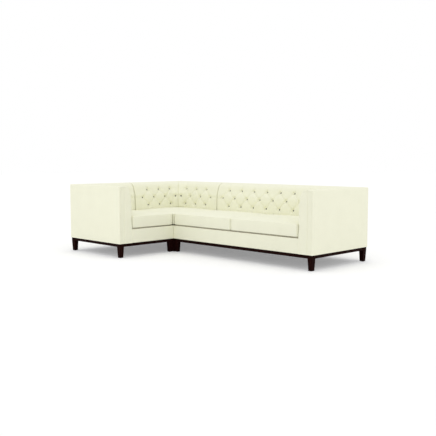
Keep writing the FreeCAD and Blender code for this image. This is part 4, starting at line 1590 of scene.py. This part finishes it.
class Repeater(Nodes):
    """A Geometry Nodes tree that sets one small shape on each point of a mesh."""

    def __init__(self, name: str, sizes: dict[str, float]) -> None:
        """Start the tree with its geometry sockets, its material and its named sizes.

        Args:
            name: Name of the tree.
            sizes: Named inputs of the tree and their values, in metres.
        """
        super().__init__(bpy.data.node_groups.new(name, "GeometryNodeTree"))
        self.sizes = sizes
        face = self.tree.interface
        face.new_socket("Geometry", in_out="INPUT", socket_type="NodeSocketGeometry")
        finish = face.new_socket("Finish", in_out="INPUT", socket_type="NodeSocketMaterial")
        self.finish_id = finish.identifier
        self.ids = {}
        for label, value in sizes.items():
            socket = face.new_socket(label, in_out="INPUT", socket_type="NodeSocketFloat")
            socket.default_value = value
            self.ids[label] = socket.identifier
        face.new_socket("Geometry", in_out="OUTPUT", socket_type="NodeSocketGeometry")
        self.source = self.tree.nodes.new("NodeGroupInput")
        self.result = self.tree.nodes.new("NodeGroupOutput")

    def size(self, label: str) -> bpy.types.NodeSocket:
        """Return the socket of a named size."""
        return self.source.outputs[label]

    def scaled(self, shape: bpy.types.NodeSocket, factors: tuple[str, str, str]) -> bpy.types.NodeSocket:
        """Scale a unit shape by three named sizes.

        Args:
            shape: The socket of the shape.
            factors: Names of the sizes along X, Y and Z.

        Returns:
            The socket of the scaled shape.
        """
        vector = self.add("ShaderNodeCombineXYZ")
        for socket, label in zip(vector.inputs, factors):
            self.link(self.size(label), socket)
        transform = self.add("GeometryNodeTransform")
        self.link(shape, transform.inputs["Geometry"])
        self.link(vector.outputs[0], transform.inputs["Scale"])
        return transform.outputs["Geometry"]

    def repeat(self, shape: bpy.types.NodeSocket, smooth: bool) -> None:
        """Set the shape on each point, turned to the point's facing and side, and end the tree.

        Args:
            shape: The shape to repeat.
            smooth: Whether the faces are shaded smooth.
        """
        turn = self.add("FunctionNodeAlignRotationToVector", axis="Z")
        roll = self.add("FunctionNodeAlignRotationToVector", axis="X", pivot_axis="Z")
        self.link(turn.outputs[0], roll.inputs["Rotation"])
        for label, node in (("facing", turn), ("beside", roll)):
            vector = self.add("GeometryNodeInputNamedAttribute", data_type="FLOAT_VECTOR")
            vector.inputs["Name"].default_value = label
            self.link(vector.outputs["Attribute"], node.inputs["Vector"])
        place = self.add("GeometryNodeInstanceOnPoints")
        self.link(self.source.outputs["Geometry"], place.inputs["Points"])
        self.link(shape, place.inputs["Instance"])
        self.link(roll.outputs[0], place.inputs["Rotation"])
        real = self.add("GeometryNodeRealizeInstances")
        self.link(place.outputs[0], real.inputs[0])
        shade = self.add("GeometryNodeSetShadeSmooth")
        shade.inputs["Shade Smooth"].default_value = smooth
        self.link(real.outputs[0], shade.inputs[0])
        dress = self.add("GeometryNodeSetMaterial")
        self.link(shade.outputs[0], dress.inputs["Geometry"])
        self.link(self.source.outputs["Finish"], dress.inputs["Material"])
        self.link(dress.outputs[0], self.result.inputs[0])

    def make(
        self, name: str, places: np.ndarray, facings: np.ndarray, besides: np.ndarray,
        finish: bpy.types.Material,
    ) -> bpy.types.Object:
        """Make one plain mesh of the repeated shape.

        Args:
            name: Name of the piece.
            places: Where each shape sits.
            facings: Which way each shape's own Z points.
            besides: Which way each shape's own X points.
            finish: Material of the shapes.

        Returns:
            The finished piece.
        """
        mesh = bpy.data.meshes.new(f"{name}_places")
        mesh.from_pydata(places.tolist(), [], [])
        for label, values in (("facing", facings), ("beside", besides)):
            layer = mesh.attributes.new(label, "FLOAT_VECTOR", "POINT")
            layer.data.foreach_set("vector", np.ascontiguousarray(values, dtype=np.float32).ravel())
        piece = bpy.data.objects.new(name, mesh)
        bpy.context.scene.collection.objects.link(piece)
        modifier = piece.modifiers.new("repeat", "NODES")
        modifier.node_group = self.tree
        modifier[self.finish_id] = finish
        for label, value in self.sizes.items():
            modifier[self.ids[label]] = value
        bake_modifiers(piece)
        piece.data.name = name
        for label in ("facing", "beside"):
            if label in piece.data.attributes:
                piece.data.attributes.remove(piece.data.attributes[label])
        box_uv(piece.data)
        return piece


@dataclass(frozen=True)
class SmallShape:
    """A unit shape to repeat, with its named sizes and the size that each of its axes takes."""

    name: str
    node: str
    settings: dict[str, object]
    sizes: dict[str, float]
    axes: tuple[str, str, str]
    smooth: bool = False

    def repeater(self, **sizes: float) -> Repeater:
        """Build the tree that repeats the shape, with some of its sizes set anew."""
        tree = Repeater(self.name, {**self.sizes, **sizes})
        shape = tree.add(self.node)
        for label, value in self.settings.items():
            shape.inputs[label].default_value = value
        tree.repeat(tree.scaled(shape.outputs["Mesh"], self.axes), self.smooth)
        return tree


UNIT_CUBE = (1.0, 1.0, 1.0)

BUTTON = SmallShape(
    "cloth_buttons", "GeometryNodeMeshUVSphere", {"Segments": 24, "Rings": 14, "Radius": 1.0},
    {"Radius": 0.0150, "Dome": 0.0058}, ("Radius", "Radius", "Dome"), smooth=True,
)
GLIDE = SmallShape(
    "round_glides", "GeometryNodeMeshCone",
    {"Vertices": 32, "Radius Top": 1.0, "Radius Bottom": 0.86, "Depth": 1.0},
    {"Radius": 0.014, "Height": 0.003}, ("Radius", "Radius", "Height"),
)
STAPLE = SmallShape(
    "wire_staples", "GeometryNodeMeshCube", {"Size": UNIT_CUBE},
    {"Length": 0.010, "Wire": 0.0012, "Proud": 0.0009}, ("Length", "Wire", "Proud"),
)
STRAP = SmallShape(
    "webbing_straps", "GeometryNodeMeshCube", {"Size": UNIT_CUBE, "Vertices X": 3, "Vertices Y": 24},
    {"Width": 0.060, "Span": 1.0, "Thick": 0.0024}, ("Width", "Span", "Thick"),
)


# ---------------------------------------------------------------------------------------------
# Sections
# ---------------------------------------------------------------------------------------------


def fatten(work: bmesh.types.BMesh, side: float, down: float) -> None:
    """Grow each loose part of a mesh a little.

    Args:
        work: The mesh, whose points are moved.
        side: Width that each upright side gains, apart from sides longer than a leg's.
        down: Depth that the underside gains.
    """
    longest_half, foot = 0.2, 0.01
    left = set(work.verts)
    while left:
        island, waiting = set(), [next(iter(left))]
        while waiting:
            vert = waiting.pop()
            if vert not in island:
                island.add(vert)
                waiting.extend(edge.other_vert(vert) for edge in vert.link_edges)
        left -= island
        low = Vector([min(vert.co[axis] for vert in island) for axis in range(3)])
        high = Vector([max(vert.co[axis] for vert in island) for axis in range(3)])
        for vert in island:
            for axis in (0, 1):
                half = (high[axis] - low[axis]) / 2.0
                middle = (high[axis] + low[axis]) / 2.0
                if half < longest_half:
                    vert.co[axis] = middle + (vert.co[axis] - middle) * (1.0 + side / half)
            if vert.co.z < low.z + foot:
                vert.co.z -= down


def softened_copy(
    node: str, name: str, edge: float, material: bpy.types.Material, side: float = 0.0, down: float = 0.0
) -> bpy.types.Object:
    """Copy a hard CAD node and ease its edges.

    Args:
        node: The CAD node.
        name: Name of the new piece.
        edge: Width of the eased edges in metres.
        material: Material of the piece.
        side: Width that each upright side gains.
        down: Depth that the underside gains.

    Returns:
        The finished piece.
    """
    mesh = frame["nodes"][node].data.copy()
    mesh.name = name
    work = bmesh.new()
    work.from_mesh(mesh)
    bmesh.ops.remove_doubles(work, verts=work.verts, dist=1e-6)
    fatten(work, side, down)
    bmesh.ops.dissolve_limit(work, angle_limit=math.radians(1.0), verts=work.verts, edges=work.edges)
    limit = math.radians(40.0)
    sharp = [line for line in work.edges if line.is_manifold and line.calc_face_angle() > limit]
    bmesh.ops.bevel(
        work, geom=sharp, offset=edge, segments=3, profile=0.6, affect="EDGES", clamp_overlap=True
    )
    bmesh.ops.recalc_face_normals(work, faces=work.faces)
    for face in work.faces:
        face.smooth = True
    work.to_mesh(mesh)
    work.free()
    piece = link_piece(name, mesh, material)
    weighted = piece.modifiers.new("weighted", "WEIGHTED_NORMAL")
    weighted.keep_sharp = True
    bake_modifiers(piece)
    return piece


@dataclass
class SectionParts:
    """What one section of the sofa is made of, by the names of its CAD nodes."""

    name: str
    walls: tuple[str, ...]
    borders: tuple[str, ...]
    facing_rails: GrainAxis
    seed: int
    deck_inset: float = 0.018
    deck_rim: float = 0.002
    border_drop: float = 0.0115
    border_thick: float = 0.012
    strap_pitch: float = 0.0955
    plinth_gain: float = 0.0050
    leg_gain: float = 0.0030

    @property
    def body(self) -> str:
        """Name of the body that the section is."""
        return f"{self.name}_section"

    def build(self, finishes: Finishes) -> None:
        """Build and dress the whole section.

        Args:
            finishes: The sofa's materials.
        """
        for wall in WALLS:
            if wall.name in self.walls:
                self.build_wall(wall, finishes)
        self.build_seat(finishes)
        self.build_feet(finishes)
        self.dress_frame(finishes)

    def build_wall(self, wall: Wall, finishes: Finishes) -> None:
        """Build a wall's casing, tufted pad and buttons.

        Args:
            wall: The wall.
            finishes: The sofa's materials.
        """
        cover = WallCover(wall).build(finishes.cream)
        hand_over(cover, self.body, (f"{wall.name}_cover",))
        pad = TuftedPad(wall)
        hand_over(pad.build(finishes.cream), self.body, (f"{wall.name}_pad",))
        places, facings = pad.spots()
        besides = np.cross(facings, np.array([0.0, 0.0, 1.0]))
        # The buttons' dark grey cloth is painted shade of the wells they sit in.
        buttons = BUTTON.repeater().make(
            f"{wall.name}_cloth_buttons", places, facings, besides, finishes.button
        )
        hand_over(buttons, self.body, (f"{wall.name}_buttons",))

    def build_seat(self, finishes: Finishes) -> None:
        """Build the seat deck, the rail borders, the webbing and the dust cover.

        Args:
            finishes: The sofa's materials.
        """
        deck_node = f"{self.name}_seat_deck"
        low, high = node_box(deck_node)
        inset = np.array([self.deck_inset, self.deck_inset, 0.0])
        deck = UpholsteredBoard(
            f"{self.name}_deck_panel", 0.003, 0.03, self.seed,
            [(low + inset, high - inset), (low, np.array([high[0], high[1], low[2] + self.deck_rim]))],
        )
        hand_over(deck.build(finishes.decking), self.body, (deck_node,))
        for number, node in enumerate(self.borders):
            low, high = node_box(node)
            high[2] -= self.border_drop
            boxes = [(low, high)]
            if node.endswith("borders"):
                meet = high[0] - self.border_thick
                boxes = [
                    (low, np.array([meet, low[1] + self.border_thick, high[2]])),
                    (np.array([meet, low[1], low[2]]), high),
                ]
            board = UpholsteredBoard(f"{node}_cloth", 0.0055, 0.014, self.seed + 3 + number, boxes)
            hand_over(board.build(finishes.cream), self.body, (node,))
        self.build_webbing(finishes)
        self.build_dust_cover(finishes)

    def build_webbing(self, finishes: Finishes) -> None:
        """Build the straps that span the seat frame.

        Args:
            finishes: The sofa's materials.
        """
        node = f"{self.name}_webbing"
        low, high = node_box(node)
        axis = 1 if self.name == "left" else 0
        width = STRAP.sizes["Width"]
        count = max(int(round((high[axis] - low[axis] - width) / self.strap_pitch)) + 1, 2)
        places = np.tile((low + high) / 2.0, (count, 1))
        places[:, axis] = np.linspace(low[axis] + width / 2.0, high[axis] - width / 2.0, count)
        facings = np.tile([0.0, 0.0, 1.0], (count, 1))
        besides = np.tile([1.0 - axis, float(axis), 0.0], (count, 1))
        straps = STRAP.repeater(Span=high[1 - axis] - low[1 - axis])
        piece = straps.make(f"{self.name}_webbing_straps", places, facings, besides, finishes.webbing)
        hand_over(piece, self.body, (node,))

    def build_dust_cover(self, finishes: Finishes) -> None:
        """Build the lining under the section.

        Args:
            finishes: The sofa's materials.
        """
        node = f"{self.name}_dust_cover"
        low, high = node_box(node)
        slab = RoundedSlab(low, high, 0.0009, 0.02)
        points = slab.points.copy()
        share = slab.shares()
        sag = np.prod([1.0 - np.abs(share[:, axis]) ** 3.0 for axis in (0, 1)], axis=0)
        points[:, 2] -= 0.002 * sag * (0.6 + 0.4 * ripple(points[:, 0], points[:, 1], 0.2, self.seed))
        name = f"{self.name}_dust_lining"
        piece = link_piece(name, Surface(points, slab.faces).mesh(name), finishes.lining)
        hand_over(piece, self.body, (node,))
        self.build_staples(low, high, finishes.steel)

    def build_staples(self, low: np.ndarray, high: np.ndarray, steel: bpy.types.Material) -> None:
        """Build the staples that hold the lining along its four sides.

        Args:
            low: Lowest corner of the lining.
            high: Highest corner of the lining.
            steel: Material of the staples.
        """
        margin, pitch, first, proud = 0.012, 0.055, 0.06, 0.0002
        places, besides = [], []
        for axis in (0, 1):
            other = 1 - axis
            count = int((high[axis] - low[axis] - 2.0 * first) / pitch)
            for line in (low[other] + margin, high[other] - margin):
                for value in np.linspace(low[axis] + first, high[axis] - first, count):
                    spot = np.zeros(3)
                    spot[axis], spot[other], spot[2] = value, line, low[2] - proud
                    places.append(spot)
                    besides.append([1.0 - axis, float(axis), 0.0])
        facings = np.tile([0.0, 0.0, -1.0], (len(places), 1))
        staples = STAPLE.repeater().make(
            f"{self.name}_lining_staples", np.array(places), facings, np.array(besides), steel
        )
        hand_over(staples, self.body)

    def build_feet(self, finishes: Finishes) -> None:
        """Build the plinth rails, legs and glides.

        Args:
            finishes: The sofa's materials.
        """
        rails, legs, glides = (f"{self.name}_{part}" for part in ("plinth_rails", "legs", "leg_glides"))
        piece = softened_copy(
            rails, f"{self.name}_plinth", 0.0015, finishes.stained[self.facing_rails], down=self.plinth_gain
        )
        hand_over(piece, self.body, (rails,))
        piece = softened_copy(
            legs, f"{self.name}_tapered_legs", 0.002, finishes.stained[GrainAxis.UPRIGHT], side=self.leg_gain
        )
        hand_over(piece, self.body, (legs,))
        spots = self.glide_spots(mesh_points(frame["nodes"][glides].data))
        facings = np.tile([0.0, 0.0, 1.0], (len(spots), 1))
        besides = np.tile([1.0, 0.0, 0.0], (len(spots), 1))
        piece = GLIDE.repeater().make(f"{self.name}_round_glides", spots, facings, besides, finishes.plastic)
        hand_over(piece, self.body, (glides,))

    def glide_spots(self, places: np.ndarray) -> np.ndarray:
        """Find the middle of each glide.

        Args:
            places: Points of the section's CAD glides.

        Returns:
            The glides' middles, at their feet.
        """
        radius, search = GLIDE.sizes["Radius"], 0.03
        low, high = places.min(axis=0), places.max(axis=0)
        spots = []
        for x in (low[0] + radius, high[0] - radius):
            for y in (low[1] + radius, high[1] - radius):
                near = np.hypot(places[:, 0] - x, places[:, 1] - y) < search
                if near.any():
                    middle = (places[near].min(axis=0) + places[near].max(axis=0)) / 2.0
                    spots.append([middle[0], middle[1], low[2]])
        return np.array(spots)

    def dress_frame(self, finishes: Finishes) -> None:
        """Give the carried-over frame, bolts and hooks their materials.

        Args:
            finishes: The sofa's materials.
        """
        for name, node in frame["nodes"].items():
            if not name.startswith(self.name):
                continue
            if name.endswith("_frame"):
                dress_node(node, finishes.timber[GrainAxis.ALONG_X])
            elif name.endswith(("_bolts", "_tongues", "_catches")):
                dress_node(node, finishes.steel)


def dress_node(node: bpy.types.Object, material: bpy.types.Material) -> None:
    """Put one material into every slot of a CAD node.

    Args:
        node: The node.
        material: The material.
    """
    if not node.material_slots:
        node.data.materials.append(material)
    for holder in node.material_slots:
        holder.material = material


# ---------------------------------------------------------------------------------------------
# Studio
# ---------------------------------------------------------------------------------------------


@dataclass
class Studio:
    """The floor, light and camera of the picture."""

    eye: Place = (5.4046, -5.2852, 1.0881)
    tilt: float = 84.99
    turn: float = 45.01
    lens: float = 55.57
    sensor: float = 36.0
    floor_reach: float = 40.0
    floor_tone: float = 0.86
    floor_seen_tone: float = 0.74
    floor_glow: float = 0.27
    sky: float = 0.88
    suns: tuple[tuple[str, Place, float, float], ...] = (
        ("key", (0.7, -1.0, 0.65), 0.08, 60.0),
        ("overhead", (0.1, -0.2, 1.0), 0.36, 80.0),
    )
    softboxes: tuple[tuple[str, Place, Place, float], ...] = (
        ("left_box", (-0.6, -3.5, 1.3), (-0.7, -0.9, 0.45), 7.5),
        ("right_box", (4.0, 0.4, 1.2), (1.5, 0.4, 0.45), 6.0),
    )
    softbox_size: float = 1.6

    def build(self) -> None:
        """Set up the whole studio."""
        scene = bpy.context.scene
        scene.view_settings.view_transform = "Standard"
        self.camera(scene)
        self.floor()
        self.world(scene)
        for sun in self.suns:
            self.sun(*sun)
        for box in self.softboxes:
            self.softbox(*box)

    def camera(self, scene: bpy.types.Scene) -> None:
        """Stand the camera where the photograph was taken.

        Args:
            scene: The scene that gets the camera.
        """
        data = bpy.data.cameras.new("camera")
        data.lens = self.lens
        data.sensor_width = self.sensor
        data.clip_end = 100.0
        camera = bpy.data.objects.new("camera", data)
        camera.location = self.eye
        camera.rotation_euler = (math.radians(self.tilt), 0.0, math.radians(self.turn))
        scene.collection.objects.link(camera)
        scene.camera = camera

    def floor(self) -> None:
        """Lay a pale floor that shows white to the camera and keeps the shadow."""
        reach = self.floor_reach
        mesh = bpy.data.meshes.new("studio_floor")
        corners = [(-reach, -reach, 0.0), (reach, -reach, 0.0), (reach, reach, 0.0), (-reach, reach, 0.0)]
        mesh.from_pydata(corners, [], [(0, 1, 2, 3)])
        material, shader, principled = start_material("studio_floor")
        principled.inputs["Roughness"].default_value = 0.9
        principled.inputs["Specular IOR Level"].default_value = 0.1
        direct = shader.add("ShaderNodeLightPath").outputs["Is Camera Ray"]
        tone = blend_colors(shader, direct, (self.floor_tone,) * 3, (self.floor_seen_tone,) * 3)
        shader.link(tone, principled.inputs["Base Color"])
        choose = shader.add("ShaderNodeMixShader")
        shader.link(self.seen(shader), choose.inputs[0])
        for socket, strength in ((choose.inputs[1], 0.0), (choose.inputs[2], self.floor_glow)):
            glow = shader.add("ShaderNodeEmission")
            glow.inputs["Strength"].default_value = strength
            shader.link(glow.outputs[0], socket)
        total = shader.add("ShaderNodeAddShader")
        shader.link(principled.outputs[0], total.inputs[0])
        shader.link(choose.outputs[0], total.inputs[1])
        output = next(node for node in material.node_tree.nodes if node.type == "OUTPUT_MATERIAL")
        shader.link(total.outputs[0], output.inputs["Surface"])
        link_piece("studio_floor", mesh, material)

    def seen(self, shader: Shader) -> bpy.types.NodeSocket:
        """Return a socket that is 1 for what the camera sees, straight or in a reflection."""
        path = shader.add("ShaderNodeLightPath")
        return shader.math("MAXIMUM", path.outputs["Is Camera Ray"], path.outputs["Is Glossy Ray"])

    def world(self, scene: bpy.types.Scene) -> None:
        """Light from all round, and show white behind the floor.

        Args:
            scene: The scene that gets the world.
        """
        world = bpy.data.worlds.new("studio")
        world.use_nodes = True
        scene.world = world
        shader = Shader(world.node_tree)
        back = next(node for node in world.node_tree.nodes if node.type == "BACKGROUND")
        back.inputs["Color"].default_value = (1.0, 1.0, 1.0, 1.0)
        shader.link(shader.affine(self.seen(shader), 1.0 - self.sky, self.sky), back.inputs["Strength"])

    def softbox(
        self, name: str, place: Place, aim: Place, power: float
    ) -> None:
        """Stand one square lamp near the sofa.

        Args:
            name: Name of the lamp.
            place: Where it stands.
            aim: What it points at.
            power: Its power in watts.
        """
        data = bpy.data.lights.new(name, "AREA")
        data.size = self.softbox_size
        data.energy = power
        lamp = bpy.data.objects.new(name, data)
        lamp.location = place
        lamp.rotation_euler = (Vector(aim) - Vector(place)).to_track_quat("-Z", "Y").to_euler()
        bpy.context.scene.collection.objects.link(lamp)

    def sun(self, name: str, side: Place, strength: float, softness: float) -> None:
        """Hang one far soft lamp.

        Args:
            name: Name of the lamp.
            side: The direction that it shines from.
            strength: Its light on a face turned to it.
            softness: The angle that it fills, in degrees.
        """
        data = bpy.data.lights.new(name, "SUN")
        data.angle = math.radians(softness)
        data.energy = strength
        lamp = bpy.data.objects.new(name, data)
        lamp.rotation_euler = Vector(side).to_track_quat("Z", "Y").to_euler()
        bpy.context.scene.collection.objects.link(lamp)


SECTIONS = (
    SectionParts(
        "left", ("left_arm", "left_back"), ("left_front_border", "left_end_border"),
        GrainAxis.ALONG_Y, 101,
    ),
    SectionParts(
        "corner", ("corner_left_back", "corner_right_back"), ("corner_end_borders",),
        GrainAxis.ALONG_X, 131,
    ),
    SectionParts(
        "right", ("right_back", "right_arm"), ("right_front_border", "right_end_border"),
        GrainAxis.ALONG_X, 151,
    ),
)

CUSHIONS = (
    SeatCushion("left", 201, trim=(0.0, 0.0, 0.0085, 0.0065)),
    SeatCushion("corner", 211, back_round=0.075, corner=0.011, trim=(0.0, -0.004, -0.004, 0.0)),
    SeatCushion("right_inner", 223, trim=(0.0065, 0.0, 0.0, 0.0)),
    SeatCushion("right_outer", 227, trim=(0.0, 0.011, 0.0, 0.0)),
)


def write_sizes() -> None:
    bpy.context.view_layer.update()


def main() -> None:
    """Build the sofa, section by section, then its cushions and the studio."""
    finishes = Finishes()
    for section in SECTIONS:
        section.build(finishes)
    for cushion in CUSHIONS:
        piece = cushion.build(finishes.cream)
        hand_over(piece, cushion.body, (cushion.node,))
    Studio().build()
    write_sizes()


if __name__ == "__main__":
    main()
